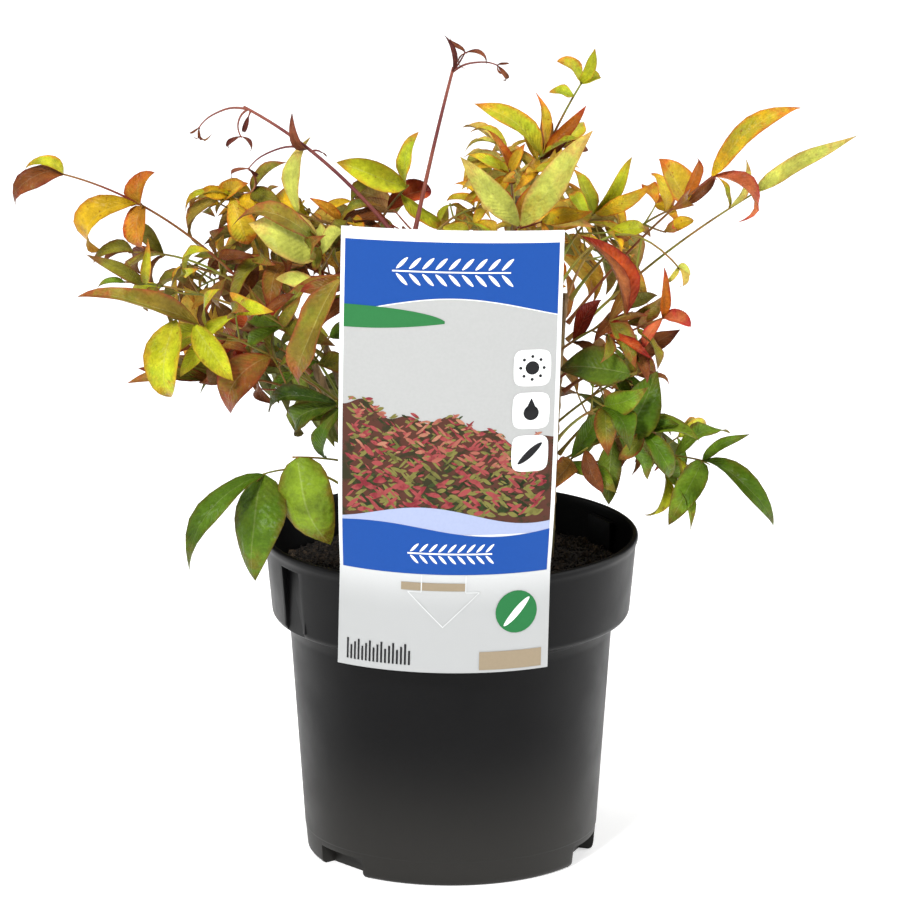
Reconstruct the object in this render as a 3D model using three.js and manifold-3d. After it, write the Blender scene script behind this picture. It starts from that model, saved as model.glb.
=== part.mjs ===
// Heavenly bamboo (dwarf nandina) in a round nursery pot, with its plant label.
// Millimetres, +Z up. The origin is the centre of the pot's flat underside and
// -Y is the side that the label stands on.
//
// The plant is a clump of thin canes. Each cane carries compound leaves (fronds):
// one stalk with leaflets along it, some on side stalks of three. Every frond is
// one solid, grown by a seeded rule that keeps its leaflets clear of all the others.

import * as THREE from 'three'
import { mergeVertices } from 'three/addons/utils/BufferGeometryUtils.js'
import Module from 'manifold-3d'

const wasm = await Module()
wasm.setup()

const { sin, cos, abs, hypot, ceil, floor, max, min, sqrt, PI } = Math
const degrees = PI / 180

// ---------------------------------------------------------------- driving sizes

const GAP = 0.3 // between neighbouring pieces

const POT = {
  height: 124.5,
  footRadius: 54.8,
  wallTopRadius: 61.7,
  collarLow: 93.2,
  collarLowRadius: 68,
  rimRadius: 70.8,
  beadRadius: 71.3,
  wall: 1.5,
  floor: 2,
  facets: 36,
  grooveWidth: 13,
  grooveDepth: 1.9,
  grooveTop: 119,
  grooveBearings: [-60, 120], // degrees round from the front
  drainBearings: [-50, 70, 190],
  drainDepth: 7,
  drainHeight: 7.5,
  drainWidth: 24,
}

const SOIL = { top: 110, radius: 65.2, crown: 1.5 }

const LABEL = {
  halfWidth: 41.6,
  low: 89.4,
  high: 259.3,
  thick: 0.7,
  wrapRadius: 72, // it hugs the collar up to the rim and flattens above it
  flatten: 0.98,
  lean: 1.4 * degrees,
  slope: 0.7 * degrees,
  bearing: -2.1, // degrees round from the front
  hookWidth: 10,
  hookLow: 105,
}

const CANE = { footRadius: 2.3, topRadius: 1.5, sides: 6, step: 16 }

// foot x, y on the soil, then top x, y, z
const CANES = {
  a: { foot: [-20, -8], top: [-50, -20, 208] },
  b: { foot: [-28, 14], top: [-66, 22, 214] },
  c: { foot: [-8, 22], top: [-32, 30, 236] },
  d: { foot: [4, -12], top: [-16, -20, 244] },
  e: { foot: [14, 16], top: [26, 22, 250] },
  f: { foot: [20, -14], top: [34, -24, 226] },
  g: { foot: [37, 12], top: [43, 14, 214] },
  h: { foot: [6, -30], top: [10, -44, 205] },
  k: { foot: [2, 42], top: [4, 68, 216] },
}

// How each frond leaves its cane (at: height there), where its stalk ends (tip), how
// far the stalk arches up (bow), and the usual leaflet (leaf: length, bend in radians,
// breadth against the common leaflet). fan names leaflets by the place along the stalk
// 0..1, the bearing seen from the front (0 up, 90 right) and the length; filler adds
// one leaflet (1), pairs (2) and side stalks of three (3) by the seeded rule.
const FRONDS = [
  { name: 'far_left', cane: 'b', at: 190, tip: [-147, -12, 267], bow: 26, leaf: 24,
    bend: 1.6, breadth: 1.15, tint: 'russet', filler: '',
    fan: [[0.68, 20, 14], [0.68, 178, 17], [0.7, 226, 27], [1, 246, 24], [1, 288, 17]] },
  { name: 'left_upper', cane: 'b', at: 196, tip: [-122, 10, 231], bow: 20, leaf: 24,
    bend: 1.5, breadth: 0.9, tint: 'olive', filler: '22',
    fan: [[1, 264, 18], [1, 246, 14]] },
  { name: 'left_mid', cane: 'a', at: 198, tip: [-124, -28, 229], bow: 14, leaf: 24,
    bend: 0.8, breadth: 0.8, tint: 'olive', filler: '2',
    fan: [[0.88, 4, 20], [0.88, 301, 27], [0.9, 331, 11], [1, 266, 11]] },
  { name: 'left_long', cane: 'a', at: 178, tip: [-104, -48, 220], bow: 10, leaf: 30,
    bend: 0.7, breadth: 0.9, tint: 'olive', filler: '2',
    fan: [[0.45, 222, 28], [0.85, 290, 49], [0.88, 145, 26], [1, 186, 32]] },
  { name: 'left_low', cane: 'a', at: 166, tip: [-92, -30, 191], bow: 18, leaf: 30,
    bend: 0.7, breadth: 0.8, tint: 'russet', filler: '',
    fan: [[0.78, 290, 25], [0.95, 281, 30], [1, 272, 33]] },
  { name: 'left_olive', cane: 'd', at: 206, tip: [-42, -58, 238], bow: 12, leaf: 26,
    bend: 0.4, breadth: 0.9, tint: 'olive', filler: '22',
    fan: [[1, 209, 50]] },
  { name: 'left_inner', cane: 'a', at: 170, tip: [-71, -40, 220], bow: 8, leaf: 24,
    bend: 1, breadth: 0.9, tint: 'olive', filler: '22',
    fan: [[1, 303, 16], [1, 330, 14], [1, 55, 15], [0.8, 23, 16]] },
  { name: 'left_dark', cane: 'a', at: 146, tip: [-43, -40, 186], bow: 6, leaf: 24,
    bend: 0.9, breadth: 1.3, tint: 'green', filler: '2',
    fan: [[1, 268, 28], [1, 244, 22], [0.9, 208, 14]] },
  { name: 'left_hang', cane: 'a', at: 130, tip: [-71, -50, 160], bow: 20, leaf: 36,
    bend: 0.6, breadth: 1.05, tint: 'green', filler: '',
    fan: [[1, 224, 48], [1, 187, 41]] },
  { name: 'left_hang_in', cane: 'd', at: 140, tip: [-59, -58, 169], bow: 10, leaf: 30,
    bend: 0.4, breadth: 1.1, tint: 'green', filler: '1',
    fan: [[1, 156, 39]] },
  { name: 'gold_left', cane: 'b', at: 214, tip: [-85, 14, 254], bow: 14, leaf: 26,
    bend: 1, breadth: 1.1, tint: 'gold', filler: '2',
    fan: [[0.86, 262, 20], [0.9, 160, 20], [1, 212, 28], [1, 268, 12]] },
  { name: 'upright_left', cane: 'c', at: 222, tip: [-59, 5, 248], bow: 6, leaf: 24,
    bend: 0.3, breadth: 0.9, tint: 'lime', filler: '2',
    fan: [[1, 4, 31], [1, 346, 24]] },
  { name: 'olive_left', cane: 'a', at: 206, tip: [-49, -28, 244], bow: 8, leaf: 24,
    bend: 0.8, breadth: 1.1, tint: 'olive', filler: '22',
    fan: [[1, 293, 36], [0.8, 297, 30], [0.95, 321, 13], [1, 192, 10]] },
  { name: 'mid_left', cane: 'c', at: 206, tip: [-80, 22, 223], bow: 14, leaf: 25,
    bend: 1, breadth: 1, tint: 'russet', filler: '332',
    fan: [[1, 250, 16]] },
  { name: 'under_left', cane: 'b', at: 182, tip: [-90, 8, 196], bow: 12, leaf: 27,
    bend: 0.9, breadth: 0.9, tint: 'russet', filler: '322',
    fan: [[1, 262, 24]] },
  { name: 'young_shoot_left', cane: 'd', at: 240, tip: [-78, 8, 288], bow: 12, leaf: 12,
    bend: 0.8, breadth: 0.6, tint: 'crimson', filler: '',
    fan: [[0.62, 336, 17], [0.62, 252, 22], [1, 250, 20], [0.98, 205, 9]] },
  { name: 'shoulder_left', cane: 'c', at: 229, tip: [-43, 10, 243], bow: 8, leaf: 22,
    bend: 0.8, breadth: 0.9, tint: 'olive', filler: '22',
    fan: [[1, 65, 20], [0.9, 311, 16], [1, 85, 20]] },
  { name: 'lance_left', cane: 'c', at: 233, tip: [-16, 2, 259], bow: 4, leaf: 24,
    bend: 0.6, breadth: 1, tint: 'lime', filler: '1',
    fan: [[1, 293, 29], [1, 9, 23], [0.45, 62, 19]] },
  { name: 'young_shoot_top', cane: 'd', at: 243, tip: [1, 0, 305], bow: 4, leaf: 13,
    bend: 0.7, breadth: 0.5, tint: 'crimson', filler: '',
    fan: [[1, 352, 15], [1, 50, 14], [1, 85, 16], [1, 330, 8]] },
  { name: 'top_yellow', cane: 'e', at: 246, tip: [35, 6, 270], bow: 10, leaf: 22,
    bend: 0.5, breadth: 0.95, tint: 'lime', filler: '2',
    fan: [[1, 309, 33], [1, 356, 25], [1, 42, 26], [0.97, 31, 22], [0.7, 318, 22], [0.75, 20, 18]] },
  { name: 'top_gold', cane: 'e', at: 238, tip: [22, -6, 267], bow: 8, leaf: 22,
    bend: 0.6, breadth: 1, tint: 'gold', filler: '2',
    fan: [[1, 333, 18], [0.9, 300, 20], [1, 25, 14], [0.8, 290, 16]] },
  { name: 'top_lance', cane: 'e', at: 228, tip: [26, -36, 252], bow: 8, leaf: 26,
    bend: 0.25, breadth: 0.85, tint: 'orange', filler: '2',
    fan: [[1, 323, 39], [1, 33, 50], [0.85, 320, 26], [0.8, 20, 22]] },
  { name: 'top_tip', cane: 'e', at: 249, tip: [50, 14, 297], bow: 6, leaf: 14,
    bend: 0.6, breadth: 1.1, tint: 'lime', filler: '',
    fan: [[1, 322, 13], [1, 20, 16], [1, 75, 7], [0.85, 283, 10]] },
  { name: 'top_middle', cane: 'd', at: 236, tip: [10, 12, 248], bow: 8, leaf: 20,
    bend: 1.3, breadth: 1, tint: 'gold', filler: '22',
    fan: [[1, 330, 14], [1, 290, 12]] },
  { name: 'right_yellow', cane: 'f', at: 224, tip: [55, -14, 253], bow: 8, leaf: 24,
    bend: 0.6, breadth: 0.95, tint: 'gold', filler: '2',
    fan: [[1, 31, 27], [1, 46, 28], [1, 336, 20], [0.92, 243, 19]] },
  { name: 'right_gold', cane: 'g', at: 212, tip: [91, 8, 251], bow: 14, leaf: 22,
    bend: 0.6, breadth: 1.15, tint: 'gold', filler: '22',
    fan: [[1, 331, 21], [1, 45, 16]] },
  { name: 'far_right_red', cane: 'g', at: 203, tip: [99, -14, 267], bow: 8, leaf: 24,
    bend: 1.1, breadth: 0.95, tint: 'orange', filler: '2',
    fan: [[1, 50, 45], [1, 139, 24]] },
  { name: 'far_right', cane: 'g', at: 196, tip: [116, 2, 257], bow: 8, leaf: 26,
    bend: 0.4, breadth: 0.75, tint: 'olive', filler: '',
    fan: [[1, 55, 49], [0.86, 20, 23], [0.86, 345, 15]] },
  { name: 'right_arch', cane: 'f', at: 214, tip: [87, -26, 232], bow: 46, leaf: 9,
    bend: 1.6, breadth: 1, tint: 'pale', filler: '',
    fan: [[1, 170, 8], [1, 120, 7], [1, 220, 7]] },
  { name: 'right_red_up', cane: 'f', at: 192, tip: [67, -38, 219], bow: 6, leaf: 24,
    bend: 0.4, breadth: 0.95, tint: 'orange', filler: '22',
    fan: [[1, 335, 38], [0.8, 70, 17], [0.75, 100, 12]] },
  { name: 'right_red', cane: 'f', at: 178, tip: [81, -30, 216], bow: 10, leaf: 22,
    bend: 0.6, breadth: 1.1, tint: 'russet', filler: '22',
    fan: [[1, 2, 21], [1, 78, 13], [1, 223, 13]] },
  { name: 'right_mid', cane: 'g', at: 176, tip: [70, 10, 184], bow: 8, leaf: 24,
    bend: 0.7, breadth: 1.1, tint: 'russet', filler: '32',
    fan: [[1, 47, 26], [1, 352, 21], [1, 102, 17]] },
  { name: 'right_dark', cane: 'f', at: 158, tip: [69, -44, 198], bow: 8, leaf: 26,
    bend: 0.5, breadth: 1.2, tint: 'green', filler: '1',
    fan: [[1, 277, 28]] },
  { name: 'right_low_in', cane: 'g', at: 152, tip: [65, -4, 179], bow: 4, leaf: 26,
    bend: 0.5, breadth: 1.1, tint: 'green', filler: '2',
    fan: [[1, 206, 21], [1, 120, 14]] },
  { name: 'right_low_far', cane: 'g', at: 142, tip: [97, -12, 155], bow: 12, leaf: 26,
    bend: 0.9, breadth: 0.9, tint: 'green', filler: '2',
    fan: [[1, 128, 40], [0.97, 56, 23], [0.98, 209, 28]] },
  { name: 'right_low_mid', cane: 'f', at: 144, tip: [74, -42, 175], bow: 10, leaf: 24,
    bend: 0.8, breadth: 1.05, tint: 'green', filler: '2',
    fan: [[1, 223, 15], [1, 72, 14], [1, 148, 21], [0.9, 92, 25], [0.75, 184, 26], [0.8, 28, 30]] },
  { name: 'right_low_near', cane: 'f', at: 130, tip: [51, -52, 171], bow: 8, leaf: 24,
    bend: 0.5, breadth: 1, tint: 'green', filler: '2',
    fan: [[0.75, 80, 24], [0.75, 116, 18], [1, 160, 18]] },
  { name: 'front_high', cane: 'h', at: 204, tip: [14, -60, 222], bow: 8, leaf: 26,
    bend: 0.7, breadth: 1, tint: 'olive', filler: '22',
    fan: [] },
  { name: 'front_low', cane: 'h', at: 160, tip: [-14, -58, 158], bow: 10, leaf: 26,
    bend: 0.7, breadth: 1.1, tint: 'green', filler: '22',
    fan: [] },
  { name: 'back_left_high', cane: 'c', at: 228, tip: [-74, 64, 226], bow: 16, leaf: 26,
    bend: 0.8, breadth: 1, tint: 'olive', filler: '3332',
    fan: [] },
  { name: 'back_left', cane: 'b', at: 205, tip: [-98, 62, 204], bow: 18, leaf: 27,
    bend: 0.8, breadth: 1, tint: 'gold', filler: '3332',
    fan: [] },
  { name: 'back_left_low', cane: 'b', at: 162, tip: [-66, 92, 162], bow: 16, leaf: 28,
    bend: 0.8, breadth: 1, tint: 'green', filler: '3332',
    fan: [] },
  { name: 'back_mid_high', cane: 'e', at: 246, tip: [26, 68, 250], bow: 12, leaf: 26,
    bend: 0.7, breadth: 1, tint: 'lime', filler: '3332',
    fan: [] },
  { name: 'back_mid', cane: 'k', at: 212, tip: [-32, 112, 206], bow: 18, leaf: 27,
    bend: 0.8, breadth: 1, tint: 'russet', filler: '3332',
    fan: [] },
  { name: 'back_mid_right', cane: 'k', at: 205, tip: [44, 118, 204], bow: 18, leaf: 27,
    bend: 0.8, breadth: 1, tint: 'orange', filler: '3332',
    fan: [] },
  { name: 'back_mid_low', cane: 'k', at: 160, tip: [4, 116, 150], bow: 16, leaf: 28,
    bend: 0.8, breadth: 1, tint: 'green', filler: '3332',
    fan: [] },
  { name: 'back_right_high', cane: 'g', at: 210, tip: [64, 72, 222], bow: 16, leaf: 26,
    bend: 0.8, breadth: 1, tint: 'gold', filler: '3332',
    fan: [] },
  { name: 'back_right_low', cane: 'g', at: 156, tip: [74, 84, 150], bow: 14, leaf: 28,
    bend: 0.8, breadth: 1, tint: 'green', filler: '3332',
    fan: [] },
]

// sky left open in the crown: x from and to, then height from and to, as they are seen
// from the front and a little above
const VIEW_TILT = 15 * degrees
const OPENINGS = [
  [-152, -74, 145, 174],
  [-74, -65, 143, 167],
  [-69, -45, 149, 155],
  [-152, -102, 235, 302],
  [-116, -99, 219, 238],
  [-102, -65, 256, 302],
  [-54, -44, 242, 302],
  [-44, -20, 268, 302],
  [-9, 4, 240, 302],
  [56, 82, 264, 302],
  [70, 104, 210, 234],
  [96, 158, 209, 242],
  [83, 119, 166, 192],
  [40, 62, 167, 179],
  [40, 62, 133, 142],
  [45, 53, 202, 219],
]

// ---------------------------------------------------------------- the growth rule

const STALK = { baseRadius: 0.95, tipRadius: 0.55, sideRadius: 0.5, sides: 3, piece: 14 }
const LEAF = { thick: 0.9, maxWidth: 19, namedRings: [0.22, 0.58], fillerRings: [0.38] }
const CLEAR = { leaf: 3.0, sibling: 2.0, siblingFrom: 0.5, stalk: 2.6, leafToStalk: 2.0, ownBase: 7 }
const FILLER = { from: 0.43, to: 0.8, roll: 0.6, hang: 0.2 } // rolled and hanging off the level
const SAMPLE = 4.2 // spacing of the points that stand for a leaflet
const ACROSS = [-1, -0.5, 0, 0.5, 1]
const TRIES = 7

const UP = new THREE.Vector3(0, 0, 1)
const vec = (x, y, z) => new THREE.Vector3(x, y, z)
const plus = (a, b, k = 1) => a.clone().addScaledVector(b, k)
const blend = (a, b, t) => a.clone().lerp(b, t)

// a small repeatable stream of numbers
function draws(seed) {
  let state = (seed * 7919 + 1237) % 233280
  const draw = (low, high) => {
    state = (state * 9301 + 49297) % 233280
    return low + ((high - low) * state) / 233280
  }
  draw(0, 1)
  draw(0, 1)
  return draw
}

function canePoint(cane, z) {
  const t = (z - SOIL.top) / (cane.top[2] - SOIL.top)
  const lean = t * (0.55 + 0.45 * t)
  return vec(
    cane.foot[0] + (cane.top[0] - cane.foot[0]) * lean,
    cane.foot[1] + (cane.top[1] - cane.foot[1]) * lean,
    z,
  )
}

function caneRadius(cane, z) {
  const t = (z - SOIL.top) / (cane.top[2] - SOIL.top)
  return CANE.footRadius + (CANE.topRadius - CANE.footRadius) * t
}

// half width of a leaflet, 0..1, along its midrib
function blade(s) {
  if (s <= 0 || s >= 1) return 0
  return sin(PI * s ** 0.72) ** 0.85 * (1 - 0.25 * s)
}

// point and directions on a leaflet's midrib, which bends away from its face
function midrib(leaf, s) {
  const { root, along, face, length, bend } = leaf
  const turn = bend * s
  const point = plus(plus(root, along, (length * sin(turn)) / bend), face, (-length * (1 - cos(turn))) / bend)
  const tangent = plus(along.clone().multiplyScalar(cos(turn)), face, -sin(turn))
  const flat = plus(face.clone().multiplyScalar(cos(turn)), along, sin(turn))
  const twist = leaf.twist * s
  const normal = plus(flat.multiplyScalar(cos(twist)), leaf.side, sin(twist))
  return { point, normal, across: tangent.cross(normal) }
}

function leafPoint(leaf, s, across) {
  const rib = midrib(leaf, s)
  const half = (blade(s) * leaf.width * across) / 2
  return plus(plus(rib.point, rib.across, half * cos(leaf.fold)), rib.normal, abs(half) * sin(leaf.fold))
}

function leafSamples(leaf, start = 0) {
  const count = max(3, ceil(leaf.length / SAMPLE))
  const points = []
  for (let k = 1; k <= count; k += 1) {
    const s = k / count
    if (s < start) continue
    if (s > 0.99) points.push(midrib(leaf, s).point)
    else for (const across of ACROSS) points.push(leafPoint(leaf, s, across))
  }
  return points
}

// true where a point would be in or against the pot, the soil or the label
function inKeepOut({ x, y, z }) {
  const r = hypot(x, y)
  const rim = POT.height
  if (z < 5) return true
  if (z < rim + 3 && r > POT.rimRadius - 5.5 && r < POT.rimRadius + 2.5) return true
  if (z < SOIL.top + 6 && r <= POT.rimRadius - 4) return true
  if (z < SOIL.top && r < POT.rimRadius + 2.5) return true
  if (z < LABEL.low - 5 || z > LABEL.high + 5.7 || y > -64.5) return false
  return x > -LABEL.halfWidth - 7 && x < LABEL.halfWidth + 5
}

function inOpening({ x, y, z }) {
  const height = z * cos(VIEW_TILT) + y * sin(VIEW_TILT)
  return OPENINGS.some(([x0, x1, low, high]) => x > x0 && x < x1 && height > low && height < high)
}

// the points of everything grown so far, each with the frond or cane it belongs to
class Crown {
  points = []
  keep(points, owner) {
    for (const point of points) this.points.push({ point, owner })
  }
  // true when a point is nearer than otherGap to another owner's, or ownGap to its own
  touches(points, owner, otherGap, ownGap) {
    for (const kept of this.points) {
      const gap = kept.owner === owner ? ownGap : otherGap
      if (gap > 0 && points.some((p) => p.distanceToSquared(kept.point) < gap * gap)) return true
    }
    return false
  }
}

const onStalk = (stalk, t) => {
  const a = blend(stalk.base, stalk.control, t)
  return a.lerp(blend(stalk.control, stalk.tip, t), t)
}
const stalkDirection = (stalk, t) =>
  blend(plus(stalk.control, stalk.base, -1), plus(stalk.tip, stalk.control, -1), t).normalize()

// the stalk leaves its cane just clear of the bark and arches to its tip
function growStalk(crown, frond, index) {
  const seed = index + 1
  const cane = CANES[frond.cane]
  const start = canePoint(cane, frond.at)
  const tip = vec(...frond.tip)
  const outward = vec(tip.x - start.x, tip.y - start.y, 0).normalize()
  const leaving = plus(tip, start, -1).multiplyScalar(0.45).add(vec(0, 0, frond.bow)).normalize()
  const overhang = STALK.baseRadius * sqrt(max(0, 1 - leaving.dot(outward) ** 2))
  const base = plus(start, outward, caneRadius(cane, frond.at) + GAP + overhang)
  const chord = plus(tip, base, -1)
  const span = chord.length()
  const count = max(6, floor(span / 3.5))
  let stalk
  let points
  for (let attempt = 0; attempt < TRIES; attempt += 1) {
    const draw = draws(seed * 31 + attempt)
    const stray = attempt === 0 ? 0 : 0.12 * span
    const shift = [draw(-stray, stray), draw(-stray, stray), frond.bow + draw(-stray, stray)]
    stalk = { base, tip, span, control: plus(base, chord, 0.45).add(vec(...shift)) }
    points = Array.from({ length: count + 1 }, (_, k) => onStalk(stalk, k / count))
    const free = points.filter((p) => p.distanceTo(base) > CLEAR.ownBase)
    if (!free.some(inKeepOut) && !crown.touches(free, index, CLEAR.stalk, 0)) break
  }
  crown.keep(points, index)
  return stalk
}

function makeLeaf(root, direction, facing, length, width, fold, bend, twist) {
  const along = direction.clone().normalize()
  const face = plus(facing, along, -facing.dot(along)).normalize()
  const side = along.clone().cross(face)
  return { root, along, face, side, length, width, fold, bend: max(bend, 0.03), twist }
}

function fits(crown, leaf, index) {
  const points = leafSamples(leaf)
  if (points.some(inKeepOut)) return false
  if (crown.touches(leafSamples(leaf, 0.3), index, CLEAR.leaf, 0)) return false
  if (crown.touches(leafSamples(leaf, CLEAR.siblingFrom), index, 0, CLEAR.sibling)) return false
  return !crown.touches(points, index, CLEAR.leafToStalk, 0)
}

function keepLeaf(crown, leaf, index, grown) {
  crown.keep(leafSamples(leaf), index)
  grown.leaves.push(leaf)
}

const outwardFrom = (p) => vec(p.x + 0.01, p.y + 0.01, 0).normalize()

const stalkPieces = (stalk) => max(3, ceil(stalk.span / STALK.piece))

// the place in the faceted stalk where a leaflet is rooted, kept inside its end
function rootOn(stalk, t) {
  const pieces = stalkPieces(stalk)
  const place = min(t, 1 - 2 / stalk.span) * pieces
  const piece = floor(place)
  return blend(onStalk(stalk, piece / pieces), onStalk(stalk, (piece + 1) / pieces), place - piece)
}

// a leaflet whose bearing and reach are named
function growNamedLeaf(crown, grown, index, [place, bearing, reach], number) {
  const { frond, stalk } = grown
  const seed = index + 1
  const root = rootOn(stalk, place)
  const outward = outwardFrom(root)
  for (let attempt = 0; attempt < TRIES; attempt += 1) {
    const draw = draws(seed * 389 + number * 41 + attempt * 11)
    const stray = attempt * 0.22
    const angle = bearing * degrees + draw(-0.5, 0.5) * stray
    const lean = -0.15 + draw(-0.25, 0.25) + draw(-0.8, 0.8) * stray
    const chord = vec(sin(angle), lean, cos(angle)).normalize()
    const wander = [draw(-0.4, 0.4), draw(-0.3, 0.3)]
    let facing = UP.clone().multiplyScalar(0.6).addScaledVector(outward, 0.3)
    facing.add(vec(wander[0], -0.7 + wander[1], 0)).normalize()
    if (abs(facing.dot(chord)) > 0.85) facing = plus(vec(0.2, -0.8, 0.25), outward, 0.5).normalize()
    const normal = plus(facing, chord, -facing.dot(chord)).normalize()
    const bend = frond.bend * draw(0.7, 1.3)
    const half = bend / 2
    const along = plus(chord.clone().multiplyScalar(cos(half)), normal, sin(half))
    const face = plus(normal.clone().multiplyScalar(cos(half)), chord, -sin(half))
    const length = (reach * half) / sin(half)
    const width = min(length * draw(0.38, 0.46), LEAF.maxWidth) * frond.breadth
    const fold = draw(0.2, 0.6)
    const leaf = makeLeaf(root, along, face, length, width, fold, bend, draw(-0.4, 0.4))
    if (!fits(crown, leaf, index)) continue
    leaf.rings = LEAF.namedRings
    keepLeaf(crown, leaf, index, grown)
    return
  }
}

// a leaflet of the seeded rule, to one side (1, -1) of a stalk or at its end (0)
function growLeaf(crown, grown, index, root, direction, level, side, number, scale) {
  const { frond } = grown
  const seed = index + 1
  const outward = outwardFrom(root)
  for (let attempt = 0; attempt < TRIES; attempt += 1) {
    const draw = draws(seed * 193 + number * 29 + attempt * 7)
    const wild = 1 + 0.35 * attempt
    const sideways = level.clone().applyAxisAngle(direction, FILLER.roll + draw(-0.45, 0.45) * wild)
    const spread = side === 0 ? 0 : draw(0.75, 1.15)
    const along = direction.clone().multiplyScalar(cos(spread)).addScaledVector(sideways, side * sin(spread))
    const hang = max(0, min(0.95, FILLER.hang + draw(-0.15, 0.15)))
    along.multiplyScalar(1 - hang).addScaledVector(UP, -hang)
    along.add(vec(draw(-0.2, 0.2) * wild, draw(-0.2, 0.2) * wild, draw(-0.2, 0.2) * wild)).normalize()
    const front = root.y < 30 ? 0.6 : 0
    let facing = UP.clone().multiplyScalar(0.55).addScaledVector(outward, 0.45)
    facing.add(vec(draw(-0.4, 0.4), draw(-0.4, 0.4) - front, draw(-0.3, 0.3))).normalize()
    if (abs(facing.dot(along)) > 0.9) facing = plus(outward, UP, 0.3).normalize()
    if (abs(facing.dot(along)) > 0.95) facing = along.clone().cross(vec(0.3, 0.8, 0.1)).normalize()
    const length = frond.leaf * scale * draw(0.8, 1.12)
    const width = length * draw(0.36, 0.46) * frond.breadth
    const fold = draw(0.2, 0.6)
    const bend = frond.bend * draw(0.4, 1.5)
    const leaf = makeLeaf(root, along, facing, length, width, fold, bend, draw(-0.7, 0.7))
    if (inOpening(midrib(leaf, 0.5).point) || inOpening(midrib(leaf, 1).point)) continue
    if (!fits(crown, leaf, index)) continue
    leaf.rings = LEAF.fillerRings
    keepLeaf(crown, leaf, index, grown)
    return
  }
}

// a side stalk with three leaflets at its end
function growSideStalk(crown, grown, index, root, direction, level, side, number) {
  const { frond } = grown
  const seed = index + 1
  for (let attempt = 0; attempt < TRIES; attempt += 1) {
    const draw = draws(seed * 97 + number * 13 + attempt * 5)
    const sideways = level.clone().applyAxisAngle(direction, FILLER.roll + draw(-0.5, 0.5))
    const spread = draw(0.7, 1.1)
    const along = direction.clone().multiplyScalar(cos(spread)).addScaledVector(sideways, side * sin(spread))
    along.addScaledVector(UP, 0.15 - 0.5 * FILLER.hang).normalize()
    const reach = frond.leaf * draw(0.42, 0.6)
    const end = plus(root, along, reach)
    const count = max(2, floor(reach / 3))
    const points = Array.from({ length: count }, (_, k) => blend(root, end, (k + 1) / count))
    const free = points.filter((p) => p.distanceTo(root) > 4)
    if (free.some(inKeepOut) || crown.touches(free, index, CLEAR.stalk, 1.8)) continue
    grown.sideStalks.push({ root, end })
    crown.keep(points, index)
    const leafRoot = plus(end, along, -1)
    const offsets = [0, 1, -1]
    offsets.forEach((offset, k) => {
      const scale = offset === 0 ? 0.9 : 0.72
      growLeaf(crown, grown, index, leafRoot, along, level, offset, number + 1 + k, scale)
    })
    return
  }
}

function growFiller(crown, grown, index) {
  const { frond, stalk } = grown
  const stations = [...frond.filler]
  const to = frond.fan.length === 0 ? 1 : FILLER.to
  let number = 0
  stations.forEach((code, k) => {
    const last = stations.length - 1
    const place = last > 0 ? FILLER.from + ((to - FILLER.from) * k) / last : to
    const root = rootOn(stalk, place)
    const direction = stalkDirection(stalk, place)
    const level = direction.clone().cross(UP).normalize()
    const pair = code === '1' ? [-1] : [1, -1]
    for (const side of k === last && frond.fan.length === 0 ? [...pair, 0] : pair) {
      number += 1
      if (code === '3' && side !== 0) {
        growSideStalk(crown, grown, index, root, direction, level, side, number)
        number += 3
      } else {
        growLeaf(crown, grown, index, root, direction, level, side, number, side === 0 ? 1.12 : 0.92)
      }
    }
  })
}

// every stalk first, then the named leaflets, then the rest
function growCrown() {
  const crown = new Crown()
  Object.values(CANES).forEach((cane, k) => {
    const points = []
    for (let z = SOIL.top; z <= cane.top[2]; z += 3) points.push(canePoint(cane, z))
    crown.keep(points, -1 - k)
  })
  const grown = FRONDS.map((frond, index) => {
    const stalk = growStalk(crown, frond, index)
    return { frond, stalk, sideStalks: [], leaves: [] }
  })
  grown.forEach((g, index) => g.frond.fan.forEach((leaf, n) => growNamedLeaf(crown, g, index, leaf, n)))
  grown.forEach((g, index) => growFiller(crown, g, index))
  return grown
}

// ---------------------------------------------------------------- solids

// triangles over rings of points, closed by a flat fan or by an apex at each end
function loft(rings, startApex = null, endApex = null) {
  const sides = rings[0].length
  const positions = []
  const put = (...points) => points.forEach((p) => positions.push(p.x, p.y, p.z))
  const wall = (a, b) => {
    for (let i = 0; i < sides; i += 1) {
      const j = (i + 1) % sides
      put(a[i], b[j], b[i], a[i], a[j], b[j])
    }
  }
  const end = (ring, apex, flip) => {
    const triangle = (a, b, c) => (flip ? put(a, b, c) : put(a, c, b))
    if (apex) ring.forEach((p, i) => triangle(p, ring[(i + 1) % sides], apex))
    else for (let i = 1; i < sides - 1; i += 1) triangle(ring[0], ring[i], ring[i + 1])
  }
  for (let k = 0; k + 1 < rings.length; k += 1) wall(rings[k], rings[k + 1])
  end(rings[0], startApex, false)
  end(rings[rings.length - 1], endApex, true)
  const geometry = new THREE.BufferGeometry()
  geometry.setAttribute('position', new THREE.Float32BufferAttribute(positions, 3))
  return geometry
}

function signedVolume(geometry) {
  const p = geometry.getAttribute('position')
  const corner = (i) => new THREE.Vector3().fromBufferAttribute(p, i)
  let volume = 0
  for (let i = 0; i < p.count; i += 3) volume += corner(i).dot(corner(i + 1).cross(corner(i + 2))) / 6
  return volume
}

function faceOutwards(geometry) {
  if (signedVolume(geometry) >= 0) return geometry
  const p = geometry.getAttribute('position')
  const flipped = []
  for (let i = 0; i < p.count; i += 3) {
    for (const k of [i, i + 2, i + 1]) flipped.push(p.getX(k), p.getY(k), p.getZ(k))
  }
  geometry.setAttribute('position', new THREE.Float32BufferAttribute(flipped, 3))
  return geometry
}

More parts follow.
